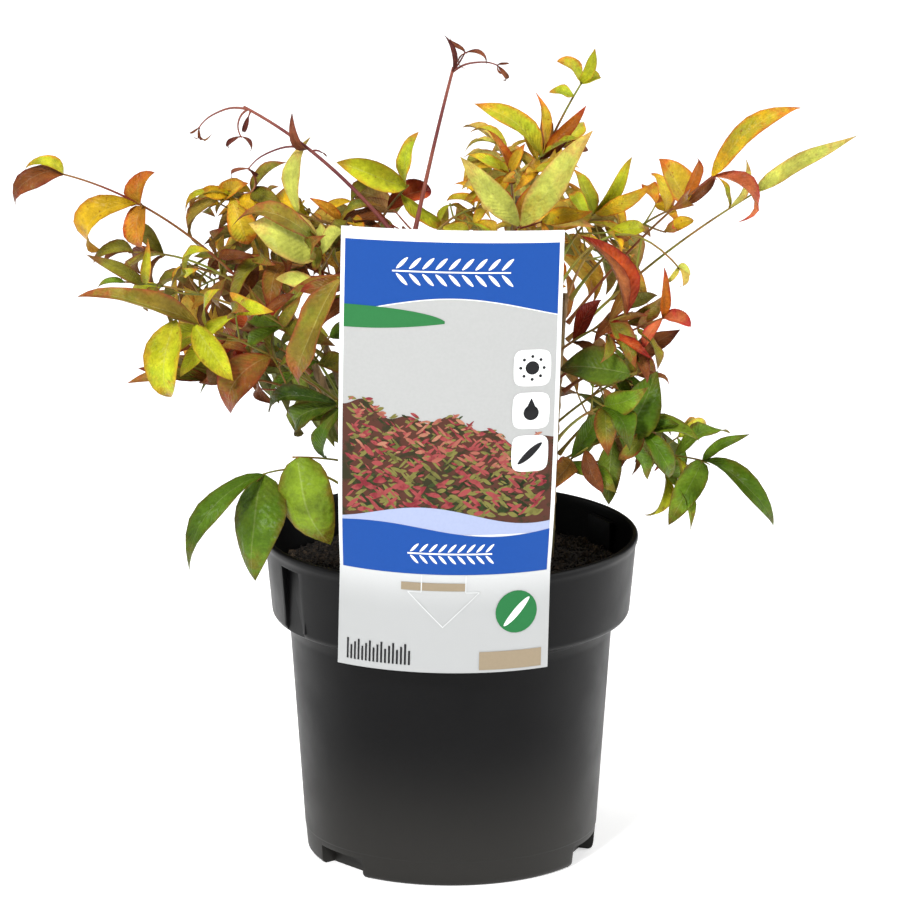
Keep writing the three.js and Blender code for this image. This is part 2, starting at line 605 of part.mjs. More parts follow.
// a tapering limb with a level ring of sides at each of its points
function limb(points, radii, sides, levelEnds = false) {
  const rings = points.map((point, k) => {
    const before = points[max(0, k - 1)]
    const after = points[min(points.length - 1, k + 1)]
    const along = levelEnds ? UP : plus(after, before, -1).normalize()
    const reference = abs(along.z) > 0.95 ? vec(1, 0, 0) : UP
    const across = reference.clone().cross(along).normalize()
    const other = along.clone().cross(across)
    return Array.from({ length: sides }, (_, i) => {
      const angle = (2 * PI * i) / sides
      return plus(plus(point, across, radii[k] * cos(angle)), other, radii[k] * sin(angle))
    })
  })
  return faceOutwards(loft(rings))
}

function toManifold(geometry) {
  const bare = geometry.clone()
  bare.deleteAttribute('normal')
  bare.deleteAttribute('uv')
  const merged = mergeVertices(bare, 1e-4)
  const mesh = new wasm.Mesh({
    numProp: 3,
    vertProperties: new Float32Array(merged.getAttribute('position').array),
    triVerts: new Uint32Array(merged.index.array),
  })
  mesh.merge()
  return new wasm.Manifold(mesh)
}

function toGeometry(manifold) {
  const mesh = manifold.getMesh()
  const geometry = new THREE.BufferGeometry()
  geometry.setAttribute('position', new THREE.Float32BufferAttribute(mesh.vertProperties, 3))
  geometry.setIndex(Array.from(mesh.triVerts))
  return geometry
}

// a folded blade with a point at each end and a keel along its midrib
function leafSolid(leaf) {
  const rings = leaf.rings.map((s) => {
    const rib = midrib(leaf, s)
    return [
      leafPoint(leaf, s, -1),
      plus(rib.point, rib.normal, LEAF.thick / 2),
      leafPoint(leaf, s, 1),
      plus(rib.point, rib.normal, -LEAF.thick / 2),
    ]
  })
  return faceOutwards(loft(rings, leaf.root, midrib(leaf, 1).point))
}

function stalkSolid(stalk) {
  const pieces = stalkPieces(stalk)
  const places = Array.from({ length: pieces + 1 }, (_, k) => k / pieces)
  const radii = places.map((t) => STALK.baseRadius + (STALK.tipRadius - STALK.baseRadius) * t)
  return limb(places.map((t) => onStalk(stalk, t)), radii, STALK.sides)
}

function frondSolid({ stalk, sideStalks, leaves }) {
  let solid = toManifold(stalkSolid(stalk))
  for (const { root, end } of sideStalks) {
    solid = solid.add(toManifold(limb([root, end], [STALK.sideRadius, STALK.sideRadius], STALK.sides)))
  }
  for (const leaf of leaves) solid = solid.add(toManifold(leafSolid(leaf)))
  return toGeometry(solid)
}

function caneSolid(cane) {
  const foot = SOIL.top + SOIL.crown + GAP
  const pieces = ceil((cane.top[2] - foot) / CANE.step)
  const heights = Array.from({ length: pieces + 1 }, (_, k) => foot + ((cane.top[2] - foot) * k) / pieces)
  const radii = heights.map((z) => caneRadius(cane, z))
  return limb(heights.map((z) => canePoint(cane, z)), radii, CANE.sides, true)
}

// a closed outline of [radius, height] turned about Z
function turned(outline, facets) {
  const geometry = new THREE.LatheGeometry(outline.map(([r, z]) => new THREE.Vector2(r, z)), facets)
  return geometry.rotateX(PI / 2)
}

function blockAt(bearing, near, far, low, high, width) {
  const block = new THREE.BoxGeometry(width, far - near, high - low)
  block.translate(0, -(near + far) / 2, (low + high) / 2)
  return block.rotateZ(bearing * degrees)
}

// the block behind a drain, or with room round it the place it takes out of the mix
function drainBack(bearing, room) {
  const deep = POT.footRadius - POT.drainDepth
  const radial = [deep - 2.5 - room, POT.footRadius - 2.5 + 5 * room]
  return blockAt(bearing, ...radial, 0.3, POT.drainHeight + 2 + room, POT.drainWidth + 4 + 2 * room)
}

function potSolid() {
  const { wall } = POT
  const collarInner = POT.collarLowRadius - wall
  const rimInner = POT.rimRadius - wall
  const outline = [
    [0, 0],
    [POT.footRadius - 1.5, 0],
    [POT.footRadius, 1.5],
    [POT.wallTopRadius - 0.5, POT.collarLow - 6],
    [POT.wallTopRadius + 1, POT.collarLow - 2],
    [POT.collarLowRadius - 1, POT.collarLow],
    [POT.collarLowRadius, POT.collarLow + 1.5],
    [POT.rimRadius, POT.height - 3],
    [POT.beadRadius, POT.height - 1.2],
    [POT.rimRadius, POT.height],
    [rimInner, POT.height],
    [rimInner, POT.height - 2],
    [collarInner, POT.collarLow + wall + 1],
    [POT.wallTopRadius - wall, POT.collarLow - 3],
    [POT.footRadius - wall, POT.floor + 1],
    [POT.footRadius - wall - 1, POT.floor],
    [0, POT.floor],
  ]
  let pot = toManifold(faceOutwards(turned(outline, POT.facets).toNonIndexed()))
  const floorOfGroove = POT.collarLowRadius + 1 - POT.grooveDepth
  for (const bearing of POT.grooveBearings) {
    const low = POT.collarLow - 1
    const back = [floorOfGroove - wall, floorOfGroove + 1, POT.collarLow + 2, POT.grooveTop + wall]
    pot = pot.add(toManifold(blockAt(bearing, ...back, POT.grooveWidth + 2 * wall)))
    const cut = [floorOfGroove, POT.rimRadius + 3, low - 1, POT.grooveTop]
    pot = pot.subtract(toManifold(blockAt(bearing, ...cut, POT.grooveWidth)))
  }
  for (const bearing of POT.drainBearings) {
    const step = [POT.footRadius - POT.drainDepth, POT.footRadius + 6, -1, POT.drainHeight]
    pot = pot.add(toManifold(drainBack(bearing, 0)))
    pot = pot.subtract(toManifold(blockAt(bearing, ...step, POT.drainWidth)))
  }
  return toGeometry(pot)
}

// the potting mix stands clear of the pot's wall, and is a little higher in the middle
function soilSolid() {
  const inside = POT.wall + GAP + 0.2
  const outline = [
    [0, POT.floor + GAP],
    [POT.footRadius - inside - 1.5, POT.floor + GAP],
    [POT.footRadius - inside, POT.floor + 2],
    [POT.wallTopRadius - inside - 0.5, POT.collarLow - 3.5],
    [SOIL.radius - 0.6, POT.collarLow + 2.2],
    [SOIL.radius, POT.collarLow + 4],
    [SOIL.radius, SOIL.top - 1.5],
    [SOIL.radius - 4, SOIL.top],
    [52, SOIL.top + SOIL.crown],
    [0, SOIL.top + SOIL.crown],
  ]
  let soil = toManifold(faceOutwards(turned(outline, POT.facets).toNonIndexed()))
  for (const bearing of POT.drainBearings) soil = soil.subtract(toManifold(drainBack(bearing, 2 * GAP)))
  return toGeometry(soil)
}

// a point of the label: u along its width, z its height, depth behind its printed face
function labelPoint(u, z, depth) {
  const bow = LABEL.wrapRadius + max(0, z - POT.height - 4) * LABEL.flatten
  const angle = u / bow
  const x = (bow - depth) * sin(angle)
  const y = -LABEL.wrapRadius - LABEL.thick + bow - (bow - depth) * cos(angle)
  return vec(x + (z - POT.height) * sin(LABEL.lean), y, z - x * sin(LABEL.slope))
}

function labelSolid() {
  const across = Array.from({ length: 9 }, (_, i) => LABEL.halfWidth * (i / 4 - 1))
  const heights = [LABEL.low, POT.height, 145, 175, 215, LABEL.high]
  const rings = heights.map((z) => [
    ...across.map((u) => labelPoint(u, z, 0)),
    ...across.map((u) => labelPoint(-u, z, LABEL.thick)),
  ])
  const card = faceOutwards(loft(rings))
  // the tongue folded back over the rim and down inside it
  const front = -LABEL.wrapRadius - 0.3
  const over = POT.height + 2 * GAP
  const inner = -POT.rimRadius + POT.wall + 3 * GAP
  const deep = inner + 2.2
  const hook = new THREE.Shape()
  hook.moveTo(front, over)
  hook.lineTo(inner, over)
  hook.lineTo(deep, LABEL.hookLow)
  hook.lineTo(deep + LABEL.thick, LABEL.hookLow)
  hook.lineTo(inner + LABEL.thick, over + LABEL.thick)
  hook.lineTo(front, over + LABEL.thick)
  hook.closePath()
  const tongue = new THREE.ExtrudeGeometry(hook, { depth: LABEL.hookWidth, bevelEnabled: false })
  tongue.translate(0, 0, -LABEL.hookWidth / 2)
  // the outline lies in the Y-Z plane
  const turn = new THREE.Matrix4().makeBasis(vec(0, 1, 0), vec(0, 0, 1), vec(1, 0, 0))
  tongue.applyMatrix4(turn)
  return toGeometry(toManifold(card).add(toManifold(tongue))).rotateZ(LABEL.bearing * degrees)
}

// ---------------------------------------------------------------- colours and assembly

const FINISH = {
  pot: { color: 0x242426, roughness: 0.5 },
  soil: { color: 0x1d1612, roughness: 0.95 },
  label: { color: 0xe9ebea, roughness: 0.45 },
  cane: { color: 0x6f5638, roughness: 0.7 },
  green: { color: 0x4c7a26, roughness: 0.45 },
  lime: { color: 0xbcb62e, roughness: 0.45 },
  pale: { color: 0xb9bf68, roughness: 0.45 },
  gold: { color: 0xd39f2a, roughness: 0.45 },
  orange: { color: 0xc4581f, roughness: 0.45 },
  olive: { color: 0x8c8330, roughness: 0.45 },
  russet: { color: 0x8f4a28, roughness: 0.45 },
  crimson: { color: 0x8a2322, roughness: 0.45 },
}

const plant = new THREE.Group()

function addPiece(name, geometry, finish) {
  const material = new THREE.MeshStandardMaterial({ ...FINISH[finish], metalness: 0 })
  const mesh = new THREE.Mesh(geometry, material)
  mesh.name = name
  plant.add(mesh)
}

addPiece('pot', potSolid(), 'pot')
addPiece('soil', soilSolid(), 'soil')
addPiece('plant_label', labelSolid(), 'label')
for (const [key, cane] of Object.entries(CANES)) addPiece(`cane_${key}`, caneSolid(cane), 'cane')
for (const grown of growCrown()) {
  addPiece(`frond_${grown.frond.name}`, frondSolid(grown), grown.frond.tint)
}

export default plant
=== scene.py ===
# Heavenly bamboo (dwarf nandina) in a round nursery pot, with its plant label.
# The growth rule and its sizes are in millimetres, and meshes are made in metres.
# -Y is the side that the label stands on.

import math

import bmesh
import bpy
import numpy as np
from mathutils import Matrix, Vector


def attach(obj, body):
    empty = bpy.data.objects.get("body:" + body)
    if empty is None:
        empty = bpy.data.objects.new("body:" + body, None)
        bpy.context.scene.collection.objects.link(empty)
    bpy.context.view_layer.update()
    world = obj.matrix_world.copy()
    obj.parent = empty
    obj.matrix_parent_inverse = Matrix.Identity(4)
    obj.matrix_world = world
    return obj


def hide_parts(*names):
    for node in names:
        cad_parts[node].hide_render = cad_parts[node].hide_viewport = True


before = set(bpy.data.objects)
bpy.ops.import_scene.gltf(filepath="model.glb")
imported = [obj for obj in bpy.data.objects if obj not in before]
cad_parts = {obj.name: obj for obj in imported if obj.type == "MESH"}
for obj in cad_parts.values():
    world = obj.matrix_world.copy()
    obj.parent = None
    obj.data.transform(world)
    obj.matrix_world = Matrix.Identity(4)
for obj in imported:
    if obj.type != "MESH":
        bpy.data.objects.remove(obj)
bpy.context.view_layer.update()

MM = 0.001
UP = np.array((0.0, 0.0, 1.0))

# ---------------------------------------------------------------- sizes

POT_HEIGHT = 124.5
FOOT_RADIUS = 54.8
WALL_TOP_RADIUS = 61.7
COLLAR_LOW = 93.2
COLLAR_LOW_RADIUS = 68.0
RIM_RADIUS = 70.8
BEAD_RADIUS = 71.3
WALL = 1.5
GROOVE_WIDTH = 13.0
GROOVE_DEPTH = 1.9
GROOVE_TOP = 119.0
GROOVE_BEARINGS = (-60, 120)
DRAIN_BEARINGS = (-50, 70, 190)
DRAIN_DEPTH = 7.0
DRAIN_HEIGHT = 7.5
DRAIN_WIDTH = 24.0
SOIL_TOP = 110.0
SOIL_RADIUS = 65.2
GAP = 0.3

LABEL_HALF = 41.6
LABEL_LOW = 89.4
LABEL_HIGH = 259.3
LABEL_THICK = 0.7
LABEL_WRAP = 72.0
LABEL_FLATTEN = 0.98
LABEL_LEAN = math.radians(1.4)
LABEL_SLOPE = math.radians(0.7)
LABEL_BEARING = math.radians(-2.1)
HOOK_WIDTH = 10.0
HOOK_LOW = 105.0

CANE_FOOT_RADIUS = 2.3
CANE_TOP_RADIUS = 1.5

# foot x, y on the potting mix, then top x, y, z
CANES = {
    "a": ((-20, -8), (-50, -20, 208)),
    "b": ((-28, 14), (-66, 22, 214)),
    "c": ((-8, 22), (-32, 30, 236)),
    "d": ((4, -12), (-16, -20, 244)),
    "e": ((14, 16), (26, 22, 250)),
    "f": ((20, -14), (34, -24, 226)),
    "g": ((37, 12), (43, 14, 214)),
    "h": ((6, -30), (10, -44, 205)),
    "k": ((2, 42), (4, 68, 216)),
}

# name, cane, height on it, tip, bow, leaflet length, bend, breadth, tints of the filler,
# filler from foot to tip (1 one leaflet, 2 a pair, 3 a pair of side stalks), how many finer
# pairs the fine crown adds between them, and the fan of leaflets that stand out, each as
# (place on the stalk, bearing clockwise from upright seen from the front, length, tint and
# shape). The first tint also says how red the stalk is.
FRONDS = [
    ("far_left", "b", 190, (-147, -12, 267), 26, 24, 1.6, 1.15, "russet gold", "", 0,
     [(0.68, 20, 14, "orange wide ovate"), (0.68, 178, 17, "orange wide ovate"),
      (0.7, 226, 27, "gold wide blunt curled"), (1, 246, 24, "russet curled"),
      (1, 288, 17, "lime narrow curled")]),
    ("left_upper", "b", 196, (-122, 10, 231), 20, 24, 1.5, 0.9, "olive russet", "22", 2,
     [(1, 264, 18, "olive curled"), (1, 246, 14, "russet narrow")]),
    ("left_mid", "a", 198, (-124, -28, 229), 14, 24, 0.8, 0.8, "olive lime", "2", 1,
     [(0.88, 4, 20, "lime narrow"), (0.88, 301, 27, "olive narrow"), (0.9, 331, 11, "olive"),
      (1, 266, 11, "green curled")]),
    ("left_long", "a", 178, (-104, -48, 220), 10, 30, 0.7, 0.9, "olive lime lime", "2", 1,
     [(0.45, 222, 28, "russet wide curled"), (0.85, 290, 49, "olive narrow"),
      (0.88, 145, 26, "lime wide"), (1, 186, 32, "lime wide curled")]),
    ("left_low", "a", 166, (-92, -30, 191), 18, 30, 0.7, 0.8, "russet olive", "", 2,
     [(0.78, 290, 25, "olive narrow"), (0.95, 281, 30, "russet narrow"),
      (1, 272, 33, "olive narrow")]),
    ("left_olive", "d", 206, (-42, -58, 238), 12, 26, 0.4, 0.9, "olive russet", "22", 2,
     [(1, 209, 50, "olive")]),
    ("left_inner", "a", 170, (-71, -40, 220), 8, 24, 1, 0.9, "olive green", "22", 2,
     [(1, 303, 16, "lime"), (1, 330, 14, "olive"), (1, 55, 15, "russet"), (0.8, 23, 16, "olive")]),
    ("left_dark", "a", 146, (-43, -40, 186), 6, 24, 0.9, 1.3, "dark green", "2", 0,
     [(1, 268, 28, "dark narrow blunt curled"), (1, 244, 22, "dark blunt curled"), (0.9, 208, 14, "dark")]),
    ("left_hang", "a", 130, (-71, -50, 160), 20, 36, 0.6, 1.05, "green green", "", 0,
     [(1, 224, 48, "green narrow curled"), (1, 187, 41, "green wide ovate down")]),
    ("left_hang_in", "d", 140, (-59, -58, 169), 10, 30, 0.4, 1.1, "green green", "1", 0,
     [(1, 156, 39, "green wide ovate down")]),
    ("gold_left", "b", 214, (-85, 14, 254), 14, 26, 1, 1.1, "gold olive", "2", 1,
     [(0.86, 262, 20, "lime curled narrow"), (0.9, 160, 20, "gold wide blunt down"),
      (1, 212, 28, "olive curled narrow"), (1, 268, 12, "gold wide blunt")]),
    ("upright_left", "c", 222, (-59, 5, 248), 6, 24, 0.3, 0.9, "lime gold", "2", 1,
     [(1, 4, 31, "pale"), (1, 346, 24, "lime narrow")]),
    ("olive_left", "a", 206, (-49, -28, 244), 8, 24, 0.8, 1.1, "olive pale russet", "22", 1,
     [(1, 293, 36, "olive curled narrow"), (0.8, 297, 30, "pale wide"), (0.95, 321, 13, "russet"),
      (1, 192, 10, "olive")]),
    ("mid_left", "c", 206, (-80, 22, 223), 14, 25, 1, 1, "russet olive", "332", 4,
     [(1, 250, 16, "russet")]),
    ("under_left", "b", 182, (-90, 8, 196), 12, 27, 0.9, 0.9, "russet crimson", "322", 2,
     [(1, 262, 24, "russet")]),
    ("young_shoot_left", "d", 240, (-78, 8, 288), 12, 12, 0.8, 0.6, "shoot shoot", "", 0,
     [(0.62, 336, 17, "shoot curled"), (0.62, 252, 22, "sprig"), (1, 250, 20, "sprig"),
      (0.98, 205, 9, "sprig")]),
    ("shoulder_left", "c", 229, (-43, 10, 243), 8, 22, 0.8, 0.9, "olive gold russet", "22", 1,
     [(1, 65, 20, "olive curled narrow"), (0.9, 311, 16, "orange"), (1, 85, 20, "russet wide")]),
    ("lance_left", "c", 233, (-16, 2, 259), 4, 24, 0.6, 1, "lime lime russet", "1", 0,
     [(1, 293, 29, "lime"), (1, 9, 23, "lime"), (0.45, 62, 19, "crimson wide blunt")]),
    ("young_shoot_top", "d", 243, (1, 0, 305), 4, 13, 0.7, 0.5, "shoot shoot", "", 0,
     [(1, 352, 15, "shoot curled"), (1, 50, 14, "sprig"), (1, 85, 16, "sprig"), (1, 330, 8, "sprig")]),
    ("top_yellow", "e", 246, (35, 6, 270), 10, 22, 0.5, 0.95, "lime gold russet", "2", 1,
     [(1, 309, 33, "lime"), (1, 356, 25, "gold narrow"), (1, 42, 26, "orange narrow"),
      (0.97, 31, 22, "lime narrow"), (0.7, 318, 22, "gold"), (0.75, 20, 18, "russet")]),
    ("top_gold", "e", 238, (22, -6, 267), 8, 22, 0.6, 1, "lime gold pale", "2", 1,
     [(1, 333, 18, "orange"), (0.9, 300, 20, "lime"), (1, 25, 14, "gold"), (0.8, 290, 16, "gold curled")]),
    ("top_lance", "e", 228, (26, -36, 252), 8, 26, 0.25, 0.85, "orange pale lime gold", "2", 1,
     [(1, 323, 39, "pale"), (1, 33, 50, "pale"), (0.85, 320, 26, "orange"), (0.8, 20, 22, "orange")]),
    ("top_tip", "e", 249, (50, 14, 297), 6, 14, 0.6, 1.1, "lime gold", "", 0,
     [(1, 322, 14, "lime wide blunt"), (1, 20, 16, "lime"), (1, 75, 8, "lime wide blunt"),
      (0.85, 283, 10, "lime wide")]),
    ("top_middle", "d", 236, (10, 12, 248), 8, 20, 1.3, 1, "gold lime", "22", 1,
     [(1, 330, 14, "gold curled"), (1, 290, 12, "gold curled")]),
    ("right_yellow", "f", 224, (55, -14, 253), 8, 24, 0.6, 0.95, "lime gold", "2", 1,
     [(1, 31, 27, "lime narrow"), (1, 46, 28, "gold narrow"), (1, 336, 20, "lime"),
      (0.92, 243, 19, "gold curled")]),
    ("right_gold", "g", 212, (91, 8, 251), 14, 22, 0.6, 1.15, "gold orange", "22", 1,
     [(1, 331, 21, "gold wide"), (1, 45, 16, "russet narrow")]),
    ("far_right_red", "g", 203, (99, -14, 267), 8, 24, 1.1, 0.95, "orange russet", "2", 0,
     [(1, 50, 45, "gold narrow"), (1, 139, 24, "rose curled")]),
    ("far_right", "g", 196, (116, 2, 257), 8, 26, 0.4, 0.75, "olive pale", "", 0,
     [(1, 55, 49, "pale narrow"), (0.86, 20, 23, "pale"), (0.86, 345, 15, "lime")]),
    ("right_arch", "f", 214, (87, -26, 232), 46, 9, 1.6, 1, "pale pale", "", 0,
     [(1, 170, 8, "pale curled"), (1, 120, 7, "pale curled"), (1, 220, 7, "pale curled")]),
    ("right_red_up", "f", 192, (67, -38, 219), 6, 24, 0.4, 0.95, "olive russet crimson", "22", 1,
     [(1, 335, 38, "crimson"), (0.8, 70, 17, "russet narrow"), (0.75, 100, 12, "crimson")]),
    ("right_red", "f", 178, (81, -30, 216), 10, 22, 0.6, 1.1, "russet olive", "22", 1,
     [(1, 2, 21, "orange narrow"), (1, 78, 13, "rose blunt wide"), (1, 223, 13, "rose blunt")]),
    ("right_mid", "g", 176, (70, 10, 184), 8, 24, 0.7, 1.1, "russet green", "32", 1,
     [(1, 47, 26, "russet"), (1, 352, 21, "olive"), (1, 102, 17, "russet narrow curled")]),
    ("right_dark", "f", 158, (69, -44, 198), 8, 26, 0.5, 1.2, "green olive", "1", 1,
     [(1, 277, 28, "dark wide")]),
    ("right_low_in", "g", 152, (65, -4, 179), 4, 26, 0.5, 1.1, "green green", "2", 1,
     [(1, 206, 21, "green"), (1, 120, 14, "green")]),
    ("right_low_far", "g", 142, (97, -12, 155), 12, 26, 0.9, 0.9, "green lime", "2", 1,
     [(1, 128, 40, "green narrow curled"), (0.97, 56, 23, "green narrow"), (0.98, 209, 28, "green ovate")]),
    ("right_low_mid", "f", 144, (74, -42, 175), 10, 24, 0.8, 1.05, "green green", "2", 0,
     [(1, 223, 15, "olive"), (1, 72, 14, "green"), (1, 148, 21, "green curled"), (0.9, 92, 25, "green"),
      (0.75, 184, 26, "dark"), (0.8, 28, 30, "green wide")]),
    ("right_low_near", "f", 130, (51, -52, 171), 8, 24, 0.5, 1, "green russet", "2", 0,
     [(0.75, 80, 24, "green"), (0.75, 116, 18, "green"), (1, 160, 18, "russet")]),
    ("front_high", "h", 204, (14, -60, 222), 8, 26, 0.7, 1, "olive gold", "22", 1,
     []),
    ("front_low", "h", 160, (-14, -58, 158), 10, 26, 0.7, 1.1, "green russet", "22", 1,
     []),
    ("back_left_high", "c", 228, (-74, 64, 226), 16, 26, 0.8, 1, "olive gold", "3332", 4,
     []),
    ("back_left", "b", 205, (-98, 62, 204), 18, 27, 0.8, 1, "gold russet olive", "3332", 4,
     []),
    ("back_left_low", "b", 162, (-66, 92, 162), 16, 28, 0.8, 1, "green dark", "3332", 4,
     []),
    ("back_mid_high", "e", 246, (26, 68, 250), 12, 26, 0.7, 1, "lime gold pale", "3332", 4,
     []),
    ("back_mid", "k", 212, (-32, 112, 206), 18, 27, 0.8, 1, "russet olive", "3332", 4,
     []),
    ("back_mid_right", "k", 205, (44, 118, 204), 18, 27, 0.8, 1, "orange gold olive", "3332", 4,
     []),
    ("back_mid_low", "k", 160, (4, 116, 150), 16, 28, 0.8, 1, "green dark", "3332", 4,
     []),
    ("back_right_high", "g", 210, (64, 72, 222), 16, 26, 0.8, 1, "gold olive", "3332", 4,
     []),
    ("back_right_low", "g", 156, (74, 84, 150), 14, 28, 0.8, 1, "green russet", "3332", 4,
     []),
]

# openings in the crown: x from and to, then height from and to, as they are seen from the
# front and a little above
VIEW_TILT = math.radians(15)
OPENINGS = [
    (-152, -74, 145, 174),
    (-74, -65, 143, 167),
    (-69, -45, 149, 155),
    (-152, -102, 235, 302),
    (-116, -99, 219, 238),
    (-102, -65, 256, 302),
    (-54, -44, 242, 302),
    (-44, -20, 268, 302),
    (-9, 4, 240, 302),
    (56, 82, 264, 302),
    (70, 104, 210, 234),
    (96, 158, 209, 242),
    (83, 119, 166, 192),
    (40, 62, 167, 179),
    (40, 62, 133, 142),
    (45, 53, 202, 219),
]

# a stalk's radius at its foot, the length of its straight pieces, where it bows most, the
# spacing of the points that stand for it, and how far a second try may stray
STALK_BASE = 0.95
STALK_PIECE = 14
BOW_AT = 0.45
STALK_SAMPLE = 3.5
STALK_STRAY = 0.12

LEAF_MAX_WIDTH = 19
LEAF_MIN_BEND = 0.03
# spacing of the points that stand for a leaflet, and their places across it
SAMPLE = 4.2
ACROSS = (-1, -0.5, 0, 0.5, 1)

# where a frond's filler starts and ends, and how its leaflets roll off the level and hang
FILLER_FROM = 0.43
FILLER_TO = 0.8
ROLL = 0.6
HANG = 0.2
# where the finer pairs start, how far they go on, and the first of their numbers
FINER_FROM = 0.3
FINER_REACH = 0.66
FINER_NUMBER = 50
# leaflets rooted nearer the front than this turn their faces to it
FRONT_UNTIL = 30
FRONT_TURN = 0.6

# the room kept free round the pot, the soil and the label
OVER_GROUND = 5
OVER_RIM = 3
INSIDE_RIM = 5.5
OUTSIDE_RIM = 2.5
OVER_SOIL = 6
SOIL_TO_RIM = 4
LEFT_OF_LABEL = 7
RIGHT_OF_LABEL = 5
LABEL_BACK_Y = -64.5
BELOW_LABEL = 5
ABOVE_LABEL = 5.7

TRIES = 7
CROWN_ROOM = 60000


class Gaps:
    """Least distances between a leaflet and the other pieces of the crown."""

    def __init__(self, leaf, sibling, stalk, leaf_to_stalk):
        self.leaf = leaf
        self.sibling = sibling
        self.stalk = stalk
        self.leaf_to_stalk = leaf_to_stalk


FIRST = Gaps(leaf=3.0, sibling=2.0, stalk=2.6, leaf_to_stalk=2.0)
FINER = Gaps(leaf=1.3, sibling=1.2, stalk=1.6, leaf_to_stalk=1.1)
# from where on along a leaflet its distance to others, and to its own frond's, counts
OTHERS_FROM = 0.3
SIBLING_FROM = 0.5
# the first bit of a stalk and of a side stalk, which may be near what carries it, and how near
# a side stalk may come to the rest of its own frond
OWN_BASE = 7
SIDE_BASE = 4
SIDE_GAP = 1.8

# ---------------------------------------------------------------- the growth rule


def vec(x, y, z):
    return np.array((x, y, z), float)


def unit(v):
    return v / math.sqrt(float(v @ v))


def turned_about(v, axis, angle):
    c, s = math.cos(angle), math.sin(angle)
    return v * c + np.cross(axis, v) * s + axis * (float(axis @ v) * (1 - c))


def draws(seed):
    """A small repeatable stream of numbers."""
    cycle = 233280
    state = (seed * 7919 + 1237) % cycle

    def draw(low, high):
        nonlocal state
        state = (state * 9301 + 49297) % cycle
        return low + (high - low) * state / cycle

    draw(0, 1)
    draw(0, 1)
    return draw


def cane_point(key, z):
    (fx, fy), (tx, ty, tz) = CANES[key]
    t = (z - SOIL_TOP) / (tz - SOIL_TOP)
    lean = t * (0.55 + 0.45 * t)
    return vec(fx + (tx - fx) * lean, fy + (ty - fy) * lean, z)


def cane_top(key):
    return CANES[key][1][2]


def cane_radius(key, z):
    t = (z - SOIL_TOP) / (cane_top(key) - SOIL_TOP)
    return CANE_FOOT_RADIUS + (CANE_TOP_RADIUS - CANE_FOOT_RADIUS) * t


def blade(s):
    """Breadth of a leaflet along its midrib, as a share of its width."""
    return np.sin(math.pi * s**0.72) ** 0.85 * (1 - 0.25 * s)


class Leaf:
    """A leaflet: where it is rooted, which way it goes and faces, and its shape."""

    def __init__(self, root, direction, facing, length, width, fold, bend, twist):
        self.root = root
        self.along = unit(direction)
        self.face = unit(facing - self.along * float(facing @ self.along))
        self.side = np.cross(self.along, self.face)
        self.length = length
        self.width = width
        self.fold = fold
        self.bend = max(bend, LEAF_MIN_BEND)
        self.twist = twist
        self.tint = "green"
        self.look = ()
        self.key = 0

    def midrib(self, s):
        """Points at s of the length, with the way that the leaflet faces and its side there."""
        s = np.asarray(s, float)[..., None]
        turn = self.bend * s
        reach = self.length / self.bend
        point = self.root + self.along * (reach * np.sin(turn))
        point = point - self.face * (reach * (1 - np.cos(turn)))
        tangent = self.along * np.cos(turn) - self.face * np.sin(turn)
        flat = self.face * np.cos(turn) + self.along * np.sin(turn)
        twist = self.twist * s
        normal = flat * np.cos(twist) + self.side * np.sin(twist)
        return point, normal, np.cross(tangent, normal)

    def samples(self, start=0.0):
        """Points that stand for the leaflet from start of its length on."""
        count = max(3, math.ceil(self.length / SAMPLE))
        s = [k / count for k in range(1, count + 1) if k / count >= start]
        # the tip is a single point, and the rest are rows across
        inner = np.array([k for k in s if k <= 0.99])
        found = [self.midrib(1.0)[0].reshape(1, 3)] if s else []
        if len(inner):
            point, normal, across = self.midrib(inner)
            half = blade(inner) * self.width / 2
            for a in ACROSS:
                h = (half * a)[:, None]
                flat = point + across * (h * math.cos(self.fold))
                found.append(flat + normal * (abs(h) * math.sin(self.fold)))
        return np.concatenate(found)


def kept_out(points):
    """True where a point would be in or against the pot, the soil or the label."""
    x, y, z = points[:, 0], points[:, 1], points[:, 2]
    r = np.hypot(x, y)
    in_pot = r < RIM_RADIUS + OUTSIDE_RIM
    bad = z < OVER_GROUND
    bad |= (z < POT_HEIGHT + OVER_RIM) & (r > RIM_RADIUS - INSIDE_RIM) & in_pot
    bad |= (z < SOIL_TOP + OVER_SOIL) & (r <= RIM_RADIUS - SOIL_TO_RIM)
    bad |= (z < SOIL_TOP) & in_pot
    by_label = (x > -LABEL_HALF - LEFT_OF_LABEL) & (x < LABEL_HALF + RIGHT_OF_LABEL) & (y <= LABEL_BACK_Y)
    bad |= by_label & (z >= LABEL_LOW - BELOW_LABEL) & (z <= LABEL_HIGH + ABOVE_LABEL)
    return bool(bad.any())


def in_opening(point):
    """True where a point would be seen in one of the crown's openings."""
    height = point[2] * math.cos(VIEW_TILT) + point[1] * math.sin(VIEW_TILT)
    return any(x0 < point[0] < x1 and low < height < high for x0, x1, low, high in OPENINGS)


